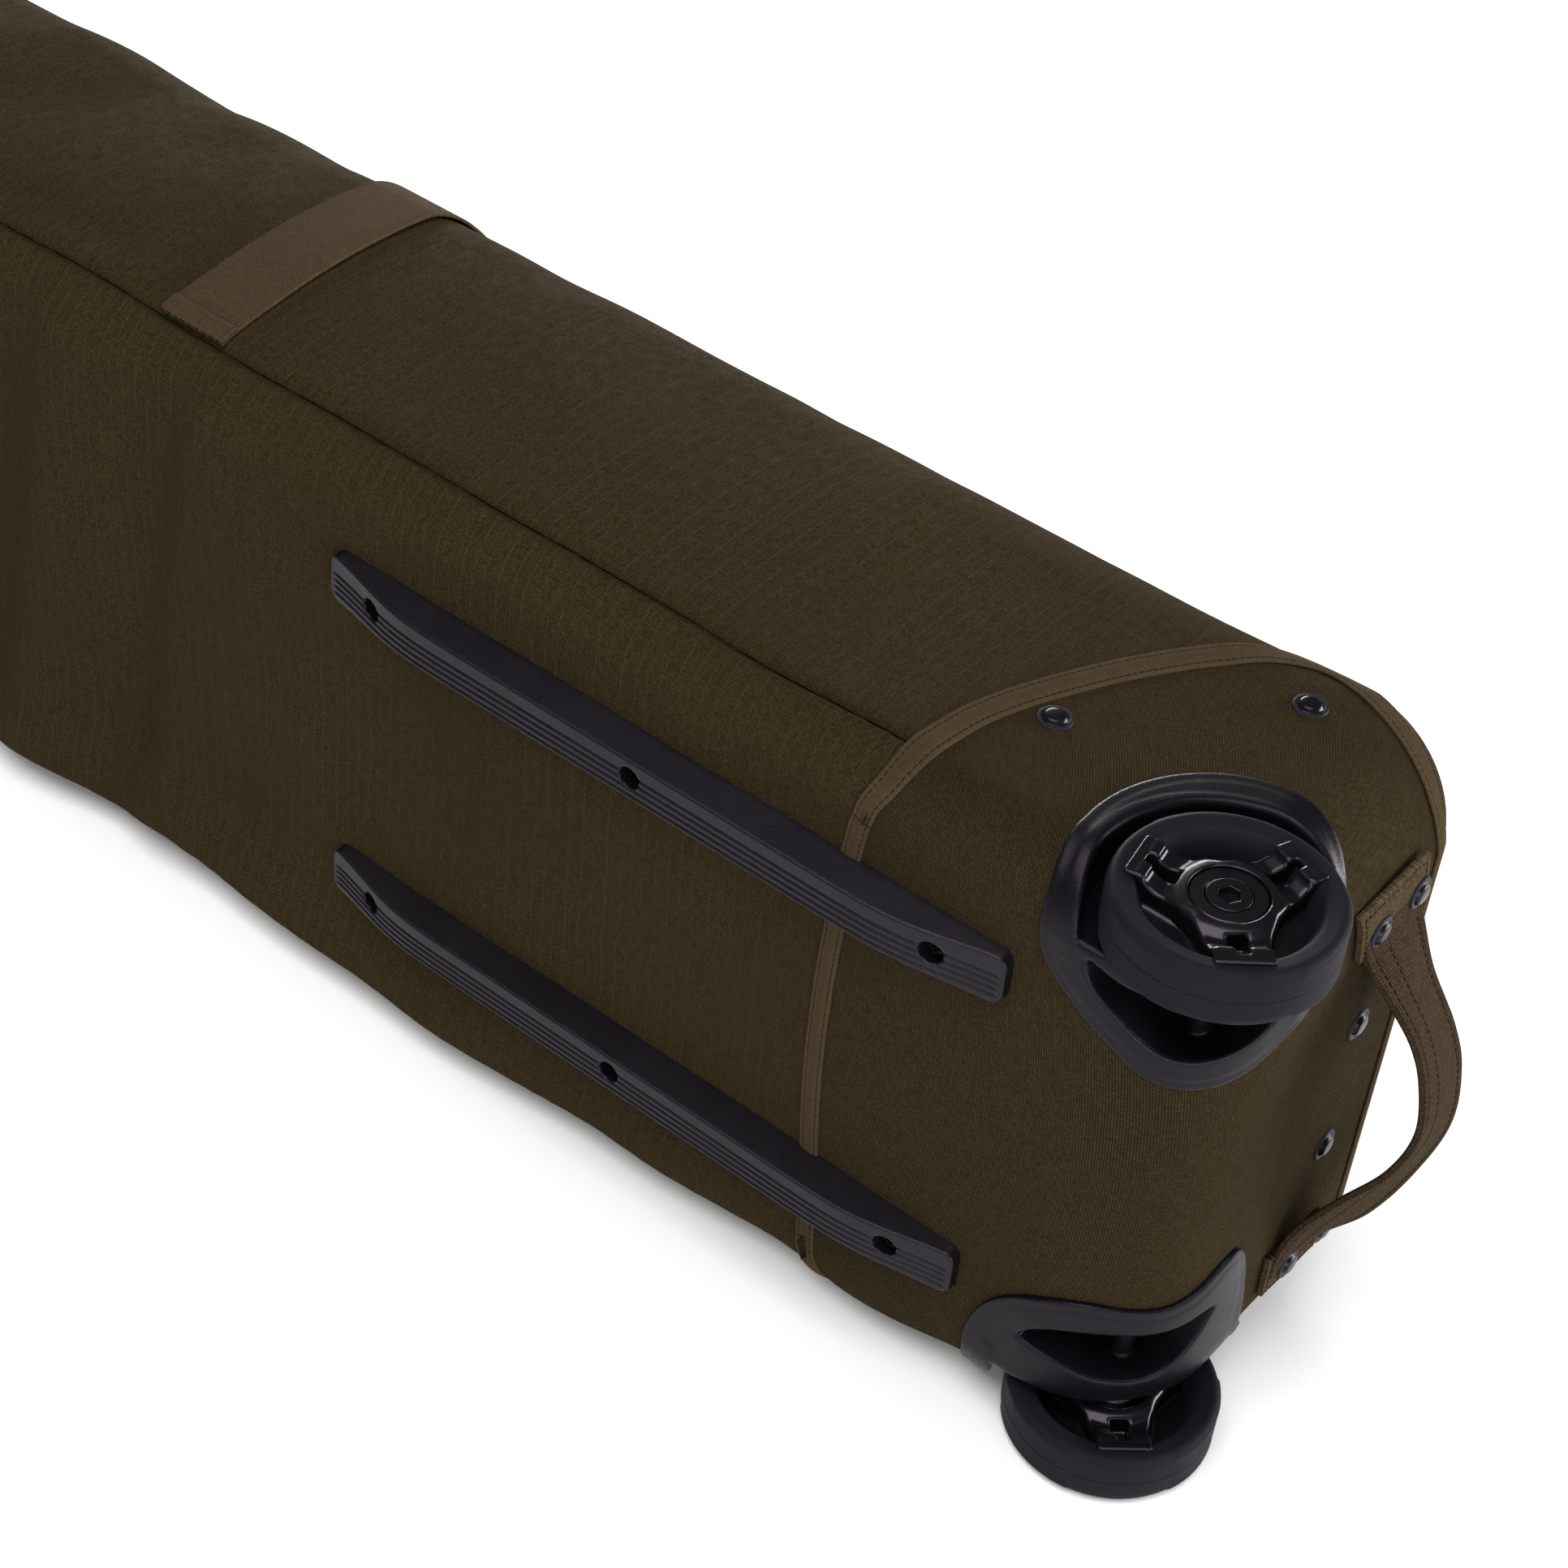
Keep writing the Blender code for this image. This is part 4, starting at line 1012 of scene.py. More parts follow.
def yoke_panel():
    n, m = 60, 60
    p = outline(along(LID_X1, LID_Y, 1800), along(24.7, 130.4, 1700, 2000), n)
    zs = np.linspace(-LID_HALF, LID_HALF, m)
    g = np.concatenate([np.repeat(p[:, None], m, 1),
                        np.repeat(zs[None, :, None], n, 0)], -1)
    g = finish_grid(g)
    weave = np.stack([run(g, 0), g[..., 2]], -1)
    ob = shell("top_yoke_skin", g, WALL, weave, outward=hull_normal(g.reshape(-1, 3)).reshape(g.shape))
    return dress(ob, M_BODY, "bag", ["top_yoke"])


def lens_rows(edge, seam, seam_low, m, shift=None):
    rows = []
    k = len(edge)
    for i in range(k):
        up = over_side(seam[i], edge[i], None, False)
        lo = over_side(seam_low[i], edge[i], None, True)
        zz = np.linspace(lo[-1, 2], up[-1, 2], 120)[1:-1]
        mid = np.column_stack([np.full_like(zz, edge[i][0]), np.full_like(zz, edge[i][1]), zz])
        if shift is not None:
            mid = shift(mid, i / (k - 1))
        line = np.vstack([lo, mid, up[::-1]])
        rows.append(even(line, m, shares(m, lengths(line)[-1])))
    return np.stack(rows)


def tip_panel():
    k, m = 90, 130
    edge = outline(along(TIP_SEAM_X, LID_Y, 3000), 3843.6 + 28.0, k)
    seam = np.column_stack([np.full(k, TIP_SEAM_X), np.linspace(LID_Y, UNDER_Y, k)])
    g = lens_rows(edge, seam, seam, m)
    g = finish_grid(g)
    weave = np.stack([run(g, 0), run(g, 1)], -1)
    ob = shell("tip_end_panel_skin", g, WALL, weave, outward=hull_normal(g.reshape(-1, 3)).reshape(g.shape))
    return dress(ob, M_BODY, "bag", ["tip_end_panel"])


def arc_place(x, y):
    """Distance along the outline round the wheel corner, 0 below the axle's side."""
    qx, qy = x - (END_X - FILLET), UNDER_Y + FILLET - y
    phi = np.arctan2(np.maximum(qx, 0), np.maximum(qy, 1e-9))
    flat = x + 0 * y
    face = END_X - FILLET + FILLET * math.pi / 2 + (y - (UNDER_Y + FILLET)) + 0 * x
    return np.where(qx < 0, flat, np.where(qy < 0, face, END_X - FILLET + FILLET * phi))


HOUSING = {
    # inboard edge, pocket's inboard and outboard edges: (place along the corner, |z|)
    "upper": {
        "edge": ((-80, 132), (-56, 108), (-50, 102.5), (-43, 96.5), (-34, 90.5), (-22, 83), (-13, 75.2),
                 (-6, 69.6), (3, 66), (11, 65), (22, 66), (31, 68.5), (40, 74), (49, 81), (64, 87),
                 (73, 94), (95, 110)),
        "in": ((-48, 126), (-34, 111), (-30, 105.5), (-22, 99.6), (-12, 91), (-4, 85), (3, 82), (11, 81),
               (19, 82), (28, 85), (35, 89.5), (41, 95), (50, 106)),
        "out": ((-48, 121), (-31, 117), (-20, 112.5), (-5, 110), (15, 109), (26, 107), (33, 103.5),
                (41, 98), (50, 90)),
    },
    "lower": {
        "edge": ((-80, 128), (-56, 102), (-52, 93), (-46, 84), (-39, 77.5), (-30, 71), (-20, 65.8), (-7, 62),
                 (7, 63.2), (16, 64.2), (26, 64.5), (33, 62.6), (38, 60.2), (44, 54), (51, 47), (56, 44.3),
                 (61, 46), (66, 51), (70, 60), (74, 80), (95, 110)),
        "in": ((-42, 104), (-32, 96), (-29, 90), (-18, 83), (-4, 79.2), (9, 78.4), (19, 79), (28, 78.6),
               (37, 76.7), (44, 73.5), (52, 74)),
        "out": ((-42, 94), (-23, 98.5), (-13, 101), (-3, 105), (6, 107), (15, 107.7), (26, 106.6),
                (33, 102.6), (40, 95), (47, 82.5), (52, 70)),
    },
}
# reach of the plate round the axle in the side view: (degrees, mm)
REACH = table(((-180, 64.5), (-147, 64), (-120, 80), (-60, 100), (0, 80), (40, 48), (55, 50.5), (66, 57.5),
               (76, 65), (84, 68), (98, 70.5), (116, 72), (136, 70), (160, 67), (180, 64.5)))


def housing_plan(which):
    edge, edge_slope = table(HOUSING[which]["edge"])

    def f(x, y, z):
        s = arc_place(x, y)
        rho = np.hypot(x, y)
        th = np.degrees(np.arctan2(y, x))
        inboard = (edge(s) - z) / np.sqrt(1 + edge_slope(s) ** 2)
        return smax(rho - REACH[0](th), inboard, 9.0)

    return f


def cap_panel():
    k, m = 112, 168
    s0, s1 = along(-142.0, UNDER_Y, 0, 1700), along(24.56, 130.4, 1700, 2000)
    edge = outline(s0, s1, k)
    seam, seam_low = even(CAP_LINE, k), even(CAP_LOW, k)

    def shift(line, f):
        line = line.copy()
        line[:, 0] += (cap_edge_x(line[:, 2]) + 142.2) * (1 - step(0.0, 0.3, f))
        return line

    g = finish_grid(lens_rows(edge, seam, seam_low, m, shift))
    c = (g[:-1, :-1] + g[1:, :-1] + g[:-1, 1:] + g[1:, 1:]) / 4
    x, y, z = c[..., 0], c[..., 1], c[..., 2]
    cutout = np.zeros(x.shape, bool)
    for which, s in (("upper", 1), ("lower", -1)):
        cutout |= (housing_plan(which)(x, y, s * z) < -7.0) & (s * z > 0)
    weave = np.stack([run(g, 0), run(g, 1) - 0.5 * run(g, 1)[:, -1:]], -1)
    ob = shell("wheel_end_cap_skin", g, WALL, weave, keep=~cutout,
               outward=hull_normal(g.reshape(-1, 3)).reshape(g.shape))
    return dress(ob, M_CAP, "bag", ["wheel_end_cap"])


SIDE_UP = side_panel(False)
SIDE_LOW = side_panel(True)
BASE = base_panel()
LID = lid_panel()
YOKE = yoke_panel()
TIP = tip_panel()
CAP = cap_panel()


# ---- stitches ---------------------------------------------------------------------------------
def dashes(name, at, tan, nor, length=2.3, width=0.75, height=0.45):
    """A row of sewn stitches: small rounded bars lying on a surface."""
    at, tan, nor = np.asarray(at, float), unit(np.asarray(tan, float)), unit(np.asarray(nor, float))
    side = unit(np.cross(nor, tan))
    a = np.linspace(0, math.pi, 5)
    ring = np.column_stack([np.cos(a), np.sin(a)])
    ring = np.vstack([ring, [(-0.9, -0.5), (0.9, -0.5)]])
    st = ((-0.5, 0.35), (-0.38, 0.9), (0.0, 1.0), (0.38, 0.9), (0.5, 0.35))
    n, m, k = len(at), len(ring), len(st)
    v = np.zeros((n, k, m, 3))
    for i, (u, s) in enumerate(st):
        for j, (b, h) in enumerate(ring):
            v[:, i, j] = (at + tan * (u * length) + side * (b * s * width / 2)
                          + nor * (h * s * height))
    q, t = [], []
    for i in range(k - 1):
        for j in range(m):
            l = (j + 1) % m
            q.append((i * m + j, i * m + l, (i + 1) * m + l, (i + 1) * m + j))
    for base, flip in ((0, True), ((k - 1) * m, False)):
        for j in range(1, m - 1):
            tri = (base, base + j, base + j + 1)
            t.append(tri[::-1] if flip else tri)
    off = (np.arange(n) * k * m)[:, None, None]
    q = (np.asarray(q)[None] + off).reshape(-1, 4)
    t = (np.asarray(t)[None] + off).reshape(-1, 3)
    w = np.repeat(np.arange(n * k * m)[:, None] * 0.13, 2, 1)
    ob = mesh(name, v.reshape(-1, 3), q[:, ::-1], t[:, ::-1], weave=w)
    return clean(ob, 1e-8)


def spaced(path, nor, pitch, offset=0.0, lift=0.0, closed=False, ends=0.0):
    """Stitch places beside a path: (points, tangents, normals)."""
    path, nor = np.asarray(path, float), unit(np.asarray(nor, float))
    if closed:
        path, nor = np.vstack([path, path[:1]]), np.vstack([nor, nor[:1]])
    s = lengths(path)
    n = max(2, int((s[-1] - 2 * ends) / pitch))
    w = np.linspace(ends, s[-1] - ends, n, endpoint=not closed)
    p = np.stack([np.interp(w, s, path[:, i]) for i in range(3)], 1)
    q = np.stack([np.interp(w + 0.5, s, path[:, i]) - np.interp(w - 0.5, s, path[:, i]) for i in range(3)], 1)
    m = unit(np.stack([np.interp(w, s, nor[:, i]) for i in range(3)], 1))
    tan = unit(q)
    side = unit(np.cross(m, tan))
    return p + side * offset + m * lift, tan, m


# ---- wheel housings -----------------------------------------------------------------------------
def housing(which):
    edge = housing_plan(which)
    pin, pout = table(HOUSING[which]["in"])[0], table(HOUSING[which]["out"])[0]

    def f(x, y, z):
        d = hull(x, y, z)
        reg = edge(x, y, z)
        s = arc_place(x, y)
        rho = np.hypot(x, y)
        proud = 2.6
        plate = smax(smax(d - proud, reg, 1.1), -(d + 6.0), 1.0)
        block = smax(reg + 5.0, smax(d - proud, -(d + 30.0), 1.0), 2.0)
        cup = smax(smax(np.abs(rho - 55.7) - 1.7, 112.0 - z, 1.0), d - proud, 1.0)
        body = smin(smin(plate, block, 1.0), cup, 1.5)
        well = smax(np.hypot(x - 1.2, y - 0.8) - WELL_R + 0.5, SHELF_Z - z, 3.0)
        body = smax(body, -well, 3.0)
        pocket = smax(smax(pin(s) - z, z - pout(s), 4.5), -(d + 24.0), 6.0)
        if which == "upper":
            pocket = smax(pocket, -35.0 - s, 5.0)
        body = smax(body, -pocket, 2.0)
        post = smax(rho - 4.6, smax(72.0 - z, z - 116.0, 1.0), 1.0)
        return smin(body, post, 1.5)

    ob = nets("wheel_housing_%s_skin" % which, f, (-78, -40, 38), (33, 77, 152),
              0.95, mirror=which == "lower")
    return dress(ob, M_MOULD, "bag", ["wheel_housing_" + which])


HOUSE = [housing("upper"), housing("lower")]

# ---- wheels ---------------------------------------------------------------------------------------
SPOKES = (-48.5, 71.5, 191.5)
top_of_spoke = table(((8, 9.8), (15, 9.6), (20, 8.7), (24, 8.6), (28, 10.4), (32, 12.6), (40, 13.2)))[0]


def hub_field(x, y, z):
    r = np.hypot(x, y)
    a = np.abs(z)
    fall = 11.3 - 0.075 * np.maximum(r - 14.0, 0) ** 1.6
    body = smax(r - 20.5, a - fall, 2.6)
    body = np.minimum(body, smax(r - 32.5, a - 1.5, 0.5))
    cutter = 1e3
    for phi in SPOKES:
        c, s = math.cos(math.radians(phi)), math.sin(math.radians(phi))
        u, v = x * c + y * s, np.abs(-x * s + y * c)
        hw = 14.6 - 0.22 * np.clip(u - 15.0, 0, 16)
        arm = smax(smax(v - hw, a - top_of_spoke(u), 2.4), smax(8.0 - u, u - 33.2, 0.8), 1.0)
        neck = smax(smax(v - 10.4, a - 13.3, 1.4), smax(29.4 - u, u - 33.2, 0.8), 1.0)
        lip = smax(smax(v - 11.4, u - 38.0, 1.2), smax(np.abs(a - 11.7) - 1.75, 30.5 - u, 1.0), 0.9)
        body = smin(smin(smin(body, arm, 3.2), neck, 1.8), lip, 0.8)
        wide = 2.5 + 0.14 * np.clip(31.0 - u, 0, 11)
        slot = smax(smax(v - wide, 1.8 - a, 1.0), smax(20.0 - u, u - 33.2, 1.6), 1.2)
        cutter = np.minimum(cutter, slot)
    body = smax(body, -cutter, 1.3)
    body = smax(body, -(r - 11.15), 0.5)
    body = smax(body, -smax(r - 15.4, 8.4 - a, 0.5), 0.7)
    return body


def tyre_mesh(name):
    half = [(30.6, 0.0), (30.6, 1.4), (31.0, 2.6), (31.8, 4.4), (32.9, 6.8), (34.0, 9.0), (35.0, 10.6), (35.8, 11.3),
            (36.8, 11.65), (38.0, 11.9), (39.5, 12.2), (41.0, 12.55), (42.2, 12.7), (43.1, 12.55), (43.9, 12.1),
            (44.5, 11.4), (45.0, 10.4), (45.3, 9.3), (45.4, 7.6), (45.45, 5.0), (45.5, 2.6), (45.5, 0.9),
            (45.5, 0.45), (45.25, 0.22), (45.15, 0.0)]
    prof = np.asarray(half + [(r, -h) for r, h in half[-2:0:-1]])
    n, seg = len(prof), 288
    t = 2 * math.pi * np.arange(seg) / seg
    d = np.degrees(t)[:, None]
    pad = np.zeros((seg, 1))
    for phi in SPOKES:
        e = (d - phi + 720.0) % 360.0
        pad = np.maximum(pad, step(27.2, 29.2, e) * step(92.8, 90.8, e))
    r, h = prof[:, 0][None] + 0 * d, prof[:, 1][None] + 0 * d
    lift = np.exp(-((np.abs(prof[:, 1]) - 10.3) / 1.35) ** 4) * (prof[:, 0] > 41)
    # the raised pads and the plain shoulder between them
    r = r + 0.55 * lift[None] * (pad - 0.35)
    h = h + np.sign(h) * 0.30 * lift[None] * (pad - 0.35)
    v = np.stack([r * np.cos(t)[:, None], r * np.sin(t)[:, None], h], -1).reshape(-1, 3)
    k, j = np.meshgrid(np.arange(seg), np.arange(n), indexing="ij")
    m, l = (k + 1) % seg, (j + 1) % n
    q = np.stack([k * n + j, m * n + j, m * n + l, k * n + l], -1).reshape(-1, 4)
    return v, q


def socket_head(x, y, z):
    """Bolt head with a hexagon socket; z is measured from the wheel's mid-plane."""
    r = np.hypot(x, y)
    head = smax(smax(r - 8.9, z - 11.0, 0.5), 8.0 - z, 0.2)
    stem = smax(r - 3.7, smax(-24.0 - z, z - 9.0, 0.2), 0.2)
    hexa = np.maximum(np.abs(y), np.abs(x) * 0.8660254 + np.abs(y) * 0.5) - 4.0
    return smax(smin(head, stem, 0.6), -smax(smax(hexa, 6.8 - z, 0.3), -20.0 + 0 * z, 0.1), 0.35)


hub_cell = 0.55
for which, side in (("upper", 1), ("lower", -1)):
    at = side * WHEEL_Z
    body = "wheel_" + which

    def placed(f, s=side, w=at):
        return lambda x, y, z: f(x, y, s * (z - w))

    hub = nets("wheel_hub_%s_skin" % which, placed(hub_field), (-39.5, -39.5, at - 14.2), (39.5, 39.5, at + 14.2),
               hub_cell)
    dress(hub, M_HUB, body, ["wheel_hub_" + which])
    v, q = tyre_mesh("tyre")
    if side < 0:
        v, q = v * (1, 1, -1), q[:, ::-1]
    tyre = clean(mesh("tyre_%s_skin" % which, v + (0, 0, at), q))
    dress(tyre, M_TYRE, body, ["tyre_" + which])
    disc = turned("axle_washer_%s_skin" % which,
                  [(9.25, 8.7), (9.25, 10.5), (9.5, 10.75), (14.3, 10.75), (14.75, 10.45), (14.75, 8.7), (9.25, 8.7)],
                  (0, 0, at), "z", 96, side)
    dress(disc, M_HUB, "bag", ["axle_washer_" + which])
    head = nets("axle_bolt_%s_skin" % which, placed(socket_head), (-9.6, -9.6, at - (24.6 if side > 0 else 11.8)),
                (9.6, 9.6, at + (11.8 if side > 0 else 24.6)), 0.3)
    dress(head, M_HUB, "bag", ["axle_bolt_" + which])


# ---- skid rails and their screws ---------------------------------------------------------------------
GROOVES = (-7.4, -4.1, -0.8, 2.5)
rail_height = table(((-260, 3.0), (-179.5, 3.0), (-176, 4.2), (-134, 16.1), (-60, 16.1), (60, 16.1), (134, 16.1),
                     (176, 4.2), (179.5, 3.0), (260, 3.0)))


def rail_field(mid_z):
    mid_x = (RAIL_X0 + RAIL_X1) / 2
    half = (RAIL_X1 - RAIL_X0) / 2

    def f(x, y, z):
        t, v = x - mid_x, z - mid_z
        H, slope = rail_height[0](t), rail_height[1](t)
        groove = 0.0
        for g in GROOVES:
            groove = groove + 0.85 * np.exp(-((v - g) / 0.62) ** 2)
        groove = groove * step(half - 1.0, half - 5.0, np.abs(t))
        top = ((RAIL_BASE_Y - H) - y + groove) / np.sqrt(1 + slope ** 2)
        w = 9.6 + 3.2 * np.clip((y - RAIL_TOP_Y) / 16.1, 0, 1.2)
        r = 5.5
        a, b = np.abs(t) - half + r, np.abs(v) - w + r
        flank = np.minimum(np.maximum(a, b), 0) + np.hypot(np.maximum(a, 0), np.maximum(b, 0)) - r
        body = smax(smax(flank * 0.98, top, 1.1), y + 28.5, 0.3)
        for hx in RAIL_HOLES:
            rr = np.hypot(x - hx, v - 0.8)
            body = smax(body, -smax(rr - 5.3, y + 36.6, 0.5), 0.7)
            body = smax(body, -(rr - 2.6), 0.3)
        return body

    return f


def cross_head(x, y, z):
    """Pan head with a cross recess, pointing down the -y axis from y = 0."""
    r = np.hypot(x, z)
    dome = smax(r - 4.7, -(y + 3.0) + 0.045 * r ** 2, 0.7)
    head = smax(dome, y, 0.2)
    cross = np.minimum(smax(np.abs(x) - 0.65, np.abs(z) - 2.5, 0.2), smax(np.abs(z) - 0.65, np.abs(x) - 2.5, 0.2))
    stem = smax(r - 2.2, smax(-1.0 - y, y - 12.0, 0.2), 0.2)
    return smin(smax(head, -smax(cross, y + 1.3, 0.2), 0.25), stem, 0.4)


for which, side in (("upper", 1), ("lower", -1)):
    mz = side * RAIL_Z
    cell = ((1.2, 0.5, 0.27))
    rail = nets("skid_rail_%s_skin" % which, rail_field(mz), (RAIL_X0 - 3, -49.5, mz - 15), (RAIL_X1 + 3, -27.0, mz + 15),
                cell)
    dress(rail, M_RAIL, "bag", ["skid_rail_" + which])
    for k, hx in enumerate(RAIL_HOLES):
        f = (lambda hx, mz: lambda x, y, z: cross_head(x - hx, y + 36.0, z - mz - 0.8))(hx, mz)
        sc = nets("rail_screw_%s_%d_skin" % (which, k + 1), f, (hx - 5.6, -39.8, mz - 4.8), (hx + 5.6, -23.0, mz + 6.4),
                  0.36)
        dress(sc, M_SCREW, "bag", ["rail_screw_%s_%d" % (which, k + 1)])


# ---- rivets ---------------------------------------------------------------------------------------------
RIVET = [(0.0, 2.65), (2.4, 2.62), (3.6, 2.5), (4.15, 2.25), (4.6, 1.75), (5.0, 1.15), (5.25, 0.8), (5.4, 0.72),
         (5.6, 0.85), (6.0, 0.98), (6.7, 1.0), (7.1, 0.85), (7.4, 0.5), (7.5, 0.15), (7.5, -0.6), (6.4, -1.4), (0.0, -1.4)]
RIVETS = {
    "rivet_end_upper": ((26.0, 91.5, 35.4), "x", 1), "rivet_end_lower": ((26.0, 91.5, -35.4), "x", 1),
    "rivet_handle_near_upper": ((29.6, 79.0, 97.0), "x", 1), "rivet_handle_near_lower": ((29.6, 79.0, -97.0), "x", 1),
    "rivet_handle_far_upper": ((29.6, 108.0, 98.5), "x", 1), "rivet_handle_far_lower": ((29.6, 108.0, -98.5), "x", 1),
    "rivet_shoulder_a_upper": ((-107.0, 41.0, 146.0), "z", 1), "rivet_shoulder_a_lower": ((-107.0, 41.0, -146.0), "z", -1),
    "rivet_shoulder_b_upper": ((-39.0, 119.5, 146.0), "z", 1), "rivet_shoulder_b_lower": ((-39.0, 119.5, -146.0), "z", -1),
}
for name, (at, axis, sign) in RIVETS.items():
    at = np.asarray(at, float)
    if axis == "z":
        at[2] = sign * side_z(at[0], at[1])
    prof = np.asarray(RIVET)
    if "handle" in name:
        prof = prof + np.where(prof[:, 1:2] < -1.0, (0.0, -1.6), (0.0, 0.0))
    ob = dress(turned(name + "_skin", prof, at, axis, 56, sign), M_RIVET, "bag", [name])
    ob.data.materials.append(M_RING)
    for face in ob.data.polygons:
        d = np.array(face.center) - row(at)
        d[0 if axis == "x" else 2] = 0.0
        face.material_index = int(np.hypot(d[1], d[0] + d[2]) > 0.0054)


# ---- binding tape ---------------------------------------------------------------------------------------
def onto_hull(p, times=3):
    p = np.array(p, float)
    for _ in range(times):
        p -= hull_normal(p) * hull(p[:, 0], p[:, 1], p[:, 2])[:, None]
    return p


def tape_path():
    up = np.column_stack([CAP_LINE, side_z(CAP_LINE[:, 0], CAP_LINE[:, 1])])
    low = np.column_stack([CAP_LOW, -side_z(CAP_LOW[:, 0], CAP_LOW[:, 1], True)])[::-1]
    zz = np.linspace(up[-1, 2], -up[-1, 2], 120)[1:-1]
    end = np.column_stack([np.full_like(zz, 24.56), np.full_like(zz, 130.4), zz])
    zz = np.linspace(-up[0, 2], up[0, 2], 140)[1:-1]
    near = np.column_stack([cap_edge_x(zz), np.full_like(zz, UNDER_Y), zz])
    p = np.vstack([up, end, low, near])
    p = even(np.vstack([p, p[:1]]), 901)[:-1]
    for _ in range(10):
        p = 0.5 * p + 0.25 * (np.roll(p, 1, 0) + np.roll(p, -1, 0))
    return onto_hull(p)


TAPE = tape_path()
TAPE_N = hull_normal(TAPE)
TAPE = settle(TAPE, TAPE_N)
for _ in range(4):
    TAPE_N = unit(0.5 * TAPE_N + 0.25 * (np.roll(TAPE_N, 1, 0) + np.roll(TAPE_N, -1, 0)))
# narrower where it is pulled tight round the underside
TAPE_W = 0.88 + 0.34 * np.clip(np.abs(TAPE_N[:, 2]), 0, 1) ** 2
tape = ribbon("binding_tape_skin", TAPE, TAPE_N, 11.0, 1.1, 0.6, 25, True, -0.15, 0.6, TAPE_W,
              relief=lambda u: -0.42 * np.exp(-((np.abs(u) - 0.62) / 0.06) ** 2))
dress(tape, M_TAPE, "bag", ["binding_tape"])
TAPE_SIDE = unit(np.cross(TAPE_N, np.roll(TAPE, -1, 0) - np.roll(TAPE, 1, 0)))
rows = [dashes("tape_stitch_%d" % i, *spaced(TAPE + TAPE_SIDE * (off * TAPE_W)[:, None], TAPE_N, 3.1, 0.0, 1.0, True),
               2.3, 0.6, 0.30) for i, off in enumerate((-3.4, 3.4))]
for ob in rows:
    dress(ob, M_TAPE_THREAD, "bag")


# ---- side straps -----------------------------------------------------------------------------------------
def side_strap(letter, x, lower):
    line = over_side((x, float(seam_y(x)) + 0.6), (x, LID_Y), 96.0, lower)
    line = even(line[(line[:, 1] < 150.0) | (np.abs(line[:, 2]) > 97.0)], 120)
    nor = hull_normal(line)
    p = settle(line, nor)
    # the strap pulls straight over the far edge and stands a little off it
    s = lengths(p)
    lift = 0.9 + 0.9 * np.exp(-((s - 0.62 * s[-1]) / (0.13 * s[-1])) ** 2) * (0.4 if lower else 1.0)
    lift[:10] *= np.linspace(0.2, 1, 10)
    lift[-14:] *= np.linspace(1, 0.1, 14)
    for _ in range(6):
        nor[1:-1] = unit(nor[:-2] + 2 * nor[1:-1] + nor[2:])
    if lower:
        lift = np.minimum(lift, 0.9)
    p = p + nor * lift[:, None]
    label = "side_strap_%s_%s" % (letter, "lower" if lower else "upper")
    band = ribbon(label + "_skin", p, nor, STRAP_W, 1.7, 0.7, 21)
    if lower:
        co = np.zeros(len(band.data.vertices) * 3, np.float32)
        band.data.vertices.foreach_get("co", co)
        co = co.reshape(-1, 3)
        co[:, 2] = np.maximum(co[:, 2], 0.0002)
        band.data.vertices.foreach_set("co", co.ravel())
    dress(band, M_WEB, "bag", [label])
    # folded hem where the strap is caught in the seam
    hem = ribbon(label + "_hem", p[:6] + nor[:6] * 1.6, nor[:6], STRAP_W + 0.4, 1.1, 0.5, 21)
    dress(hem, M_WEB, "bag")
    return band


for letter, x in zip("ab", STRAP_X):
    side_strap(letter, x, False)
    side_strap(letter, x, True)


# ---- handles ----------------------------------------------------------------------------------------------
def handle_relief(u):
    """Rolled edges and the furrows of the sewn rows across a handle, u from -1 to 1."""
    a = np.abs(u)
    return (0.55 * np.exp(-((a - 0.90) / 0.07) ** 2) - 0.55 * np.exp(-((a - 0.76) / 0.035) ** 2)
            - 0.5 * np.exp(-((u + 0.28) / 0.035) ** 2))


def handle(label, near, far, sign):
    """A webbing loop at an end, between its two edges given as (x, y, z) points."""
    a, b = smooth_curve(near, 150), smooth_curve(far, 150)
    p, half = (a + b) / 2, (b - a) / 2
    tan = unit(np.gradient(p, axis=0))
    nor = unit(np.cross(tan, half))
    if np.sum(nor[:, 0]) * sign < 0:
        nor = -nor
    for _ in range(4):
        nor[1:-1] = unit(nor[:-2] + 2 * nor[1:-1] + nor[2:])
    if np.sum(np.cross(nor, tan) * half) < 0:
        half = -half
    band = ribbon(label + "_skin", p, nor, 42.0, 2.8, 1.2, 61, False, -1.4, 0.2, None, None, half, handle_relief)
    dress(band, M_HANDLE, None, [label])
    bits = [band]
    for i, off in enumerate((-0.76, -0.28, 0.76)):
        at, tt, nn = spaced(p[10:-10] + half[10:-10] * off, nor[10:-10], 3.3, 0.0, 1.15)
        bits.append(dress(dashes("%s_stitch_%d" % (label, i), at, tt, nn, 2.3, 0.6, 0.35), M_THREAD, None))
    for ob in bits:
        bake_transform(ob)
    return bits


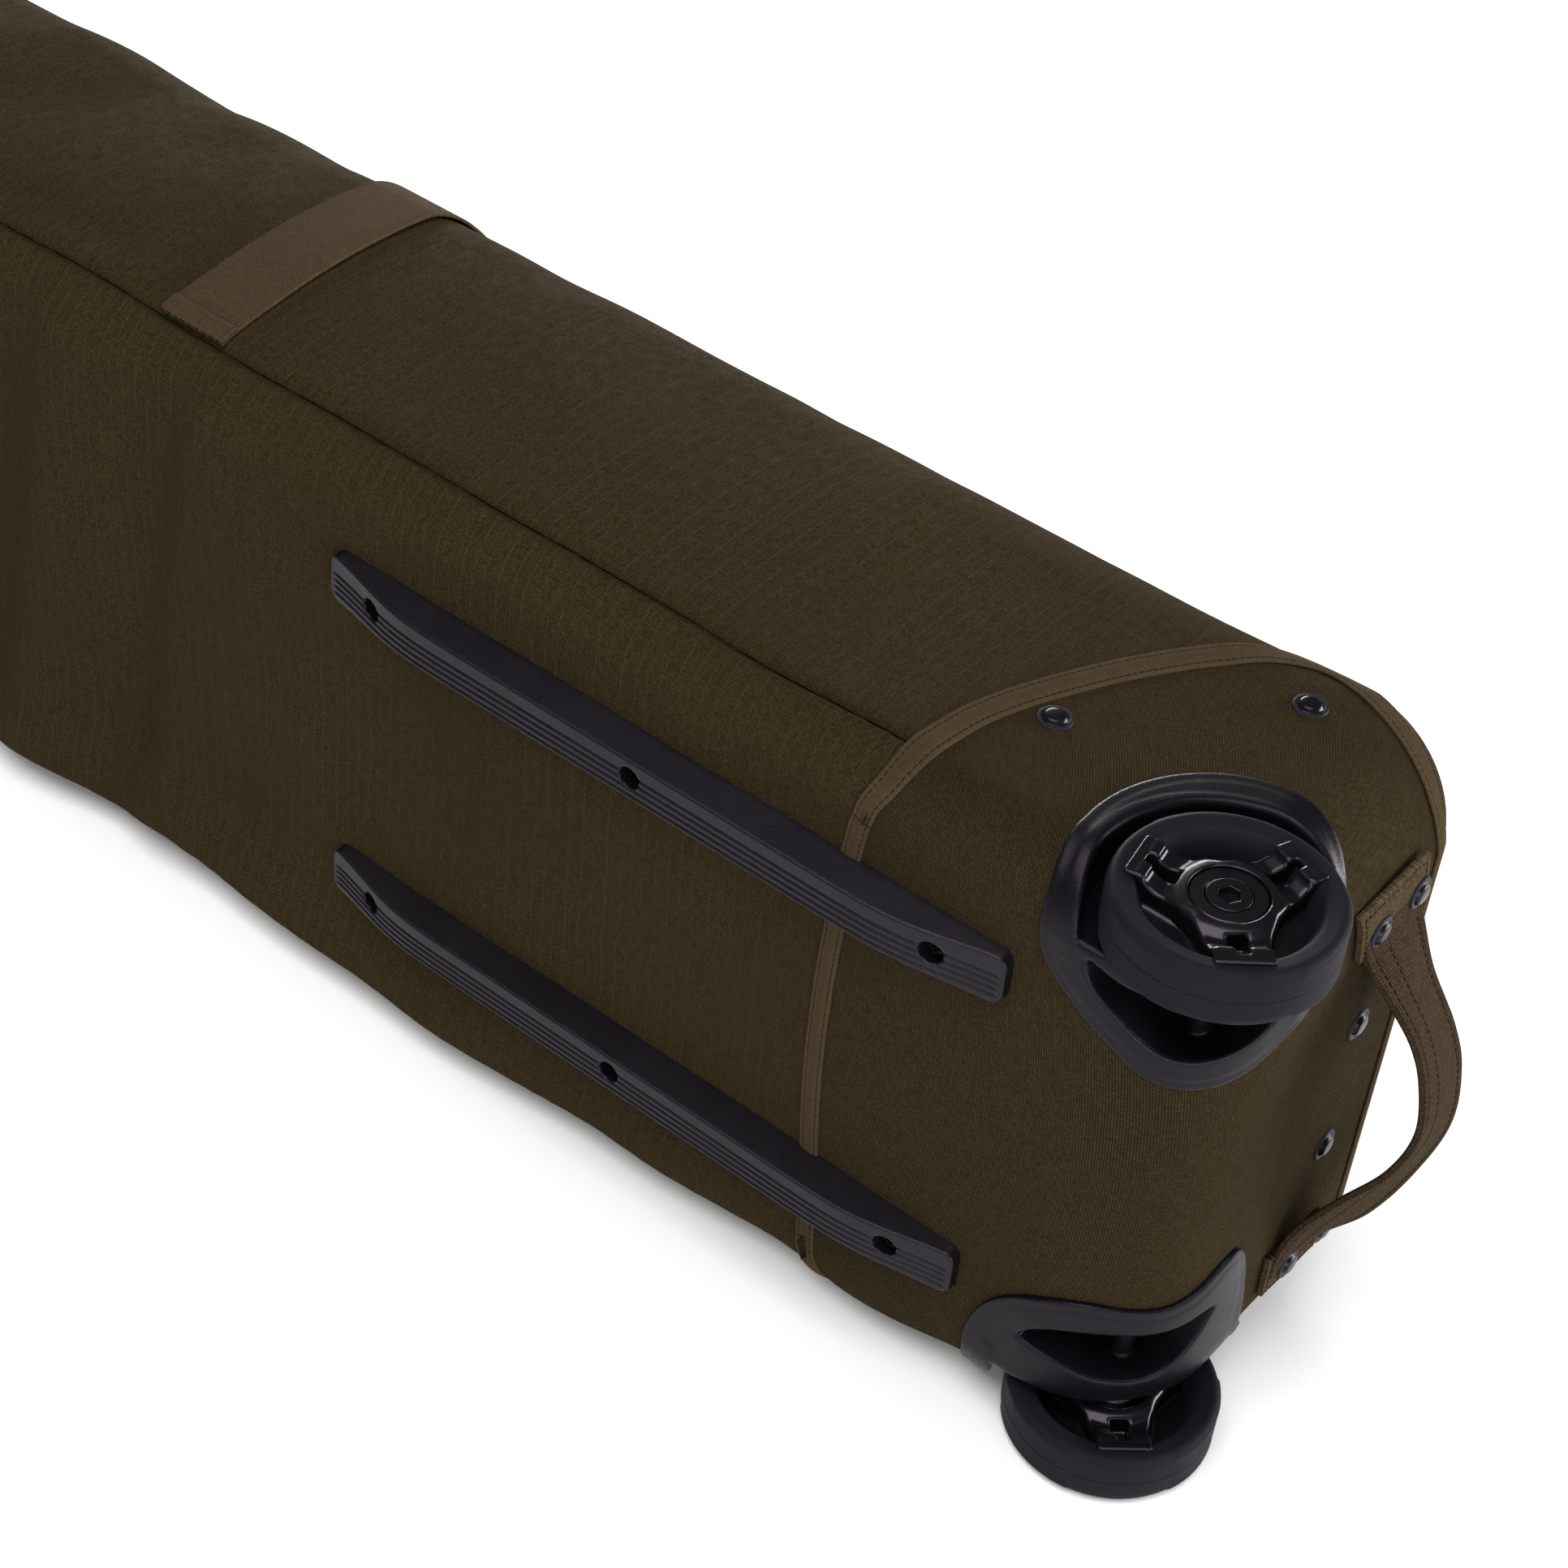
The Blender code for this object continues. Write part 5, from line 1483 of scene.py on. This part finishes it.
def tab(label, x, corners, sign):
    """A folded patch of webbing over the end of a handle; corners are (y, z), the two by the
    handle first."""
    c = np.asarray(corners, float)
    f = np.linspace(0, 1, 30)[:, None]
    a, b = c[0] * (1 - f) + c[3] * f, c[1] * (1 - f) + c[2] * f
    mid, half = (a + b) / 2, (b - a) / 2

    def lay(q):
        drop = 0.0 if sign < 0 else 42.0 - np.sqrt(np.maximum(42.0 ** 2 - np.maximum(np.abs(q[:, 1]) - 104.0, 0) ** 2, 0))
        return np.column_stack([x - drop + 0 * q[:, 0], q])

    p = lay(mid)
    half = np.column_stack([np.zeros(30), half])
    nor = np.tile((float(sign), 0.0, 0.0), (30, 1))
    if np.sum(np.cross(nor, np.gradient(p, axis=0)) * half) < 0:
        half = -half
    patch = ribbon(label + "_skin", p, nor, 42.0, 2.9, 1.0, 33, False, 0.0, 0.3, None, None, half,
                   lambda u: 0.35 * np.exp(-((np.abs(u) - 0.93) / 0.05) ** 2))
    dress(patch, M_TAB, "bag", [label])
    inner = c + (c.mean(0) - c) * 0.14
    q = lay(even(np.vstack([inner, inner[:1]]), 200))
    nn = np.tile((float(sign), 0.0, 0.0), (len(q), 1))
    st = dashes(label + "_stitch", *spaced(q, nn, 3.2, 0.0, 3.12), 2.2, 0.6, 0.35)
    return dress(st, M_THREAD, "bag")


handle("grab_handle",
       [(28.0, 70, 97), (28.6, 70, 90), (33, 71, 83), (45, 71, 73), (58, 71, 60), (66, 71, 43), (70, 71, 18),
        (63, 70.5, -9), (47, 69, -37), (34, 67, -62), (29.2, 65, -80), (28.0, 64, -95)],
       [(28.0, 111, 100), (28.6, 112, 92), (32, 113, 82), (41, 113, 62), (56, 113, 41), (64, 113, 22), (67, 113, -7),
        (59, 112, -43), (47, 110, -74), (34, 106, -91), (29.2, 104, -97), (28.0, 103, -103)], 1)
TIP_LOOP = [(-1742.4, 97), (-1743.4, 89), (-1754, 74), (-1771, 52), (-1781.5, 22), (-1782, -12), (-1773, -47),
            (-1755, -73), (-1743.4, -89), (-1742.4, -97)]
handle("tip_handle", [(x, 50.5, z) for x, z in TIP_LOOP], [(x + 1.5, 91.5, z - 3.0) for x, z in TIP_LOOP],
       -1)
tab("grab_handle_tab_upper", 26.3, ((67, 87.5), (113, 86.5), (113, 115.5), (60, 114)), 1)
tab("grab_handle_tab_lower", 26.3, ((60, -81), (105, -85), (105, -107), (61, -104)), 1)
for which, k in (("upper", 1), ("lower", -1)):
    tab("tip_handle_tab_" + which, -1740.3, ((49.5, k * 87.0), (92.5, k * 87.0), (92.5, k * 112.0), (49.5, k * 112.0)), -1)


# ---- zip ------------------------------------------------------------------------------------------------------
def u_path(out, n=1400):
    """The zip's line round three sides of the lid, moved outwards by out."""
    x0, x1, z0, z1 = LID_X0 - out, LID_X1 + out, -LID_HALF - out, LID_HALF - 8.5
    c = 5.0 + max(out, 0) * 0.6
    t = np.linspace(0, math.pi / 2, 12)
    p = [np.array([(x0, z1), (x0, z0 + c)])]
    p.append(np.column_stack([x0 + c - c * np.cos(t), z0 + c - c * np.sin(t)]))
    p.append(np.array([(x0 + c, z0), (x1 - c, z0)]))
    p.append(np.column_stack([x1 - c + c * np.sin(t), z0 + c - c * np.cos(t)]))
    p.append(np.array([(x1, z0 + c), (x1, z1)]))
    q = even(np.vstack(p), n)
    p3 = np.column_stack([q[:, 0], np.full(n, LID_Y), q[:, 1]])
    flat = p3.copy()
    return p3


def laid(p):
    """Lays points of the zipped side on the settled fabric."""
    on = onto_hull(p, 2)
    nor = hull_normal(on)
    return settle(on, nor), nor


def chain(label, out, body, nodes):
    """Coil teeth along one side of the zip."""
    p = u_path(out, 4000)
    q, nor = laid(p)
    at, tan, nn = spaced(q, nor, 2.5, 0.0, 0.9)
    side = np.cross(nn, tan)
    ob = dashes(label + "_skin", at, side, nn, 2.7, 1.5, 0.95)
    return dress(ob, M_COIL, body, nodes)


chain("zip_teeth_bag", 1.5, "bag", ["zip_teeth_bag"])
chain("zip_teeth_lid", -1.5, "lid", ["zip_teeth_lid"])
for label, out, body in (("zip_tape_bag", 8.6, "bag"), ("zip_tape_lid", -8.6, "lid")):
    p = u_path(out, 700)
    q, nor = laid(p)
    band = ribbon(label, q, nor, 12.0, 0.7, 0.3, 7, False, 0.25)
    dress(band, M_ZIPTAPE, body)
    for i, off in enumerate((-4.6, 4.6)):
        at, tan, nn = spaced(q, nor, 3.4, off, 0.95)
        dress(dashes("%s_stitch_%d" % (label, i), at, tan, nn, 2.3, 0.6, 0.35), M_THREAD, body)


def round_box(x, y, z, hx, hy, hz, r):
    a, b, c = np.abs(x) - hx + r, np.abs(y) - hy + r, np.abs(z) - hz + r
    return (np.minimum(np.maximum(a, np.maximum(b, c)), 0)
            + np.sqrt(np.maximum(a, 0) ** 2 + np.maximum(b, 0) ** 2 + np.maximum(c, 0) ** 2) - r)


def slider_field(x, y, z):
    """Origin on the zip line at the slider's underside."""
    wide = 5.4 - 0.10 * np.abs(x)
    top = smax(round_box(x, y - 1.7, z, 7.0, 0.75, 5.4, 0.6), np.abs(z) - wide, 0.6)
    low = smax(round_box(x, y - 0.5, z, 6.6, 0.5, 5.0, 0.4), np.abs(z) - wide + 0.3, 0.5)
    arch = smax(np.abs(np.hypot(x * 0.62, y - 2.2) - 2.9) - 0.75, np.abs(z) - 1.6, 0.5)
    arch = smax(arch, 2.0 - y, 0.3)
    return smin(smin(top, low, 0.5), arch, 0.6)


def pull_field(sign):
    def f(x, y, z):
        u = x * sign
        w = 3.1 + 0.9 * step(4.0, 14.0, u)
        a = smax(np.abs(z) - w, smax(-1.2 - u, u - 34.0, 0.5), 2.2)
        plate = smax(a, np.abs(y) - 0.75, 0.5)
        eye = smax(np.hypot(u - 1.6, z) - 1.5, np.abs(y) - 3.0, 0.2)
        hole = smax(np.abs(z) - 1.7, smax(22.0 - u, u - 31.0, 0.5), 1.2)
        ribs = 0.22 * np.cos(u * 2 * math.pi / 2.0) * step(8.0, 9.0, u) * step(20.5, 19.5, u)
        return smax(smax(plate - ribs, -hole, 0.5), -eye, 0.3)
    return f


PULL_Y = LID_Y + 2.1 + 3.85
for letter, x, sign in (("a", -684.0, 1), ("b", -716.0, -1)):
    f = (lambda x: lambda a, b, c: slider_field(a - x, b - LID_Y - 2.1, c + LID_HALF))(x)
    ob = nets("zip_slider_%s_skin" % letter, f, (x - 8, LID_Y + 1.0, -LID_HALF - 6.5), (x + 8, LID_Y + 9.5, -LID_HALF + 6.5),
              0.28)
    dress(ob, M_DARK, "zip_slider_" + letter, ["zip_slider_" + letter])
    g = (lambda x, s: lambda a, b, c: pull_field(s)(a - x, b - PULL_Y, c + LID_HALF))(x, sign)
    x0, x1 = sorted((x - sign * 2.5, x + sign * 35.5))
    ob = nets("zip_pull_%s_skin" % letter, g, (x0, PULL_Y - 1.8, -LID_HALF - 5.0), (x1, PULL_Y + 1.8, -LID_HALF + 5.0),
              0.3)
    dress(ob, M_DARK, "zip_pull_" + letter, ["zip_pull_" + letter])

# ---- carried-over pieces ------------------------------------------------------------------------
SLOT_LOOK = {"bag_fabric": M_BODY, "binding": M_TAPE, "webbing": M_WEB, "moulding": M_MOULD,
             "zip_chain": M_COIL, "stiffener": M_BOARD, "hub": M_HUB, "tyre": M_TYRE,
             "steel": M_STEEL, "gunmetal": M_DARK}
for part in frame["record"]["subparts"]:
    ob = frame["nodes"][part["node"]]
    ob.data.materials.clear()
    ob.data.materials.append(SLOT_LOOK[part["material_slot"]])

# ---- camera, light, floor -----------------------------------------------------------------------
AZ, EL, ROLL = (math.radians(v) for v in (35.04, 40.61, 6.38))
EYE = np.array((365.44, -809.48, 927.18))
back = Vector((math.sin(AZ) * math.cos(EL), -math.cos(AZ) * math.cos(EL), math.sin(EL)))
right = Vector((math.cos(AZ), math.sin(AZ), 0.0))
up = back.cross(right)
cr, sr = math.cos(ROLL), math.sin(ROLL)
right, up = right * cr + up * sr, up * cr - right * sr
cam = bpy.data.cameras.new("camera")
cam.sensor_fit = "HORIZONTAL"
cam.sensor_width = 36.0
cam.lens = 36.0 * 3956.86 / 1932.0
cam.clip_start, cam.clip_end = 0.02, 60.0
eye = bpy.data.objects.new("camera", cam)
SCENE.collection.objects.link(eye)
turn = Matrix((right, up, back)).transposed().to_4x4()
eye.matrix_world = Matrix.Translation(Vector(row(EYE))) @ turn
SCENE.camera = eye

SCENE.view_settings.view_transform = "Standard"
SCENE.view_settings.look = "None"
SCENE.view_settings.exposure = 0.0
SCENE.view_settings.gamma = 1.0

world = bpy.data.worlds.new("studio")
SCENE.world = world
world.use_nodes = True
world.node_tree.nodes["Background"].inputs[0].default_value = (1.0, 1.0, 1.0, 1.0)
# a pale room in front of the bag, dimmer behind it
wt = world.node_tree
sep = wt.nodes.new("ShaderNodeSeparateXYZ")
wt.links.new(wt.nodes.new("ShaderNodeTexCoord").outputs["Generated"], sep.inputs[0])
fade = wt.nodes.new("ShaderNodeMapRange")
wt.links.new(sep.outputs[1], fade.inputs["Value"])
for socket, value in (("From Min", -0.3), ("From Max", 0.5), ("To Min", 0.20), ("To Max", 0.08)):
    fade.inputs[socket].default_value = value
wt.links.new(fade.outputs["Result"], wt.nodes["Background"].inputs[1])


def lamp(name, place, target, size, power, size_y=None):
    d = bpy.data.lights.new(name, "AREA")
    d.shape = "RECTANGLE"
    d.size, d.size_y = size, size_y or size
    d.energy = power
    ob = bpy.data.objects.new(name, d)
    ob.location = place
    ob.rotation_euler = (Vector(target) - Vector(place)).to_track_quat("-Z", "Y").to_euler()
    SCENE.collection.objects.link(ob)
    return ob


lamp("key", (0.6, -1.1, 4.3), (0.5, 0.0, 0.1), 3.6, 222.0)
lamp("end", (3.0, 2.2, 0.66), (0.85, 0.05, 0.14), 2.2, 142.0, 1.1)
lamp("graze", (3.6, -1.5, 0.66), (0.5, 0.0, 0.12), 2.2, 52.0, 1.1)
lamp("front", (1.5, -3.0, 0.95), (0.3, 0.0, 0.15), 2.6, 36.0, 1.5)
lamp("rear", (-1.8, 2.7, 0.75), (0.2, 0.0, 0.15), 1.6, 110.0, 1.2)

floor_mesh = bpy.data.meshes.new("floor")
e = 14.0
floor_mesh.from_pydata([(-e, -e, -0.0005), (e, -e, -0.0005), (e, e, -0.0005), (-e, e, -0.0005)], [], [(0, 1, 2, 3)])
floor = bpy.data.objects.new("floor", floor_mesh)
SCENE.collection.objects.link(floor)
ft = Tree("floor_paper")
floor.data.materials.append(ft.done(ft.mix(ft.noise(ft.place(), 3.0), (0.90, 0.90, 0.90), (0.92, 0.92, 0.92)), 0.9))
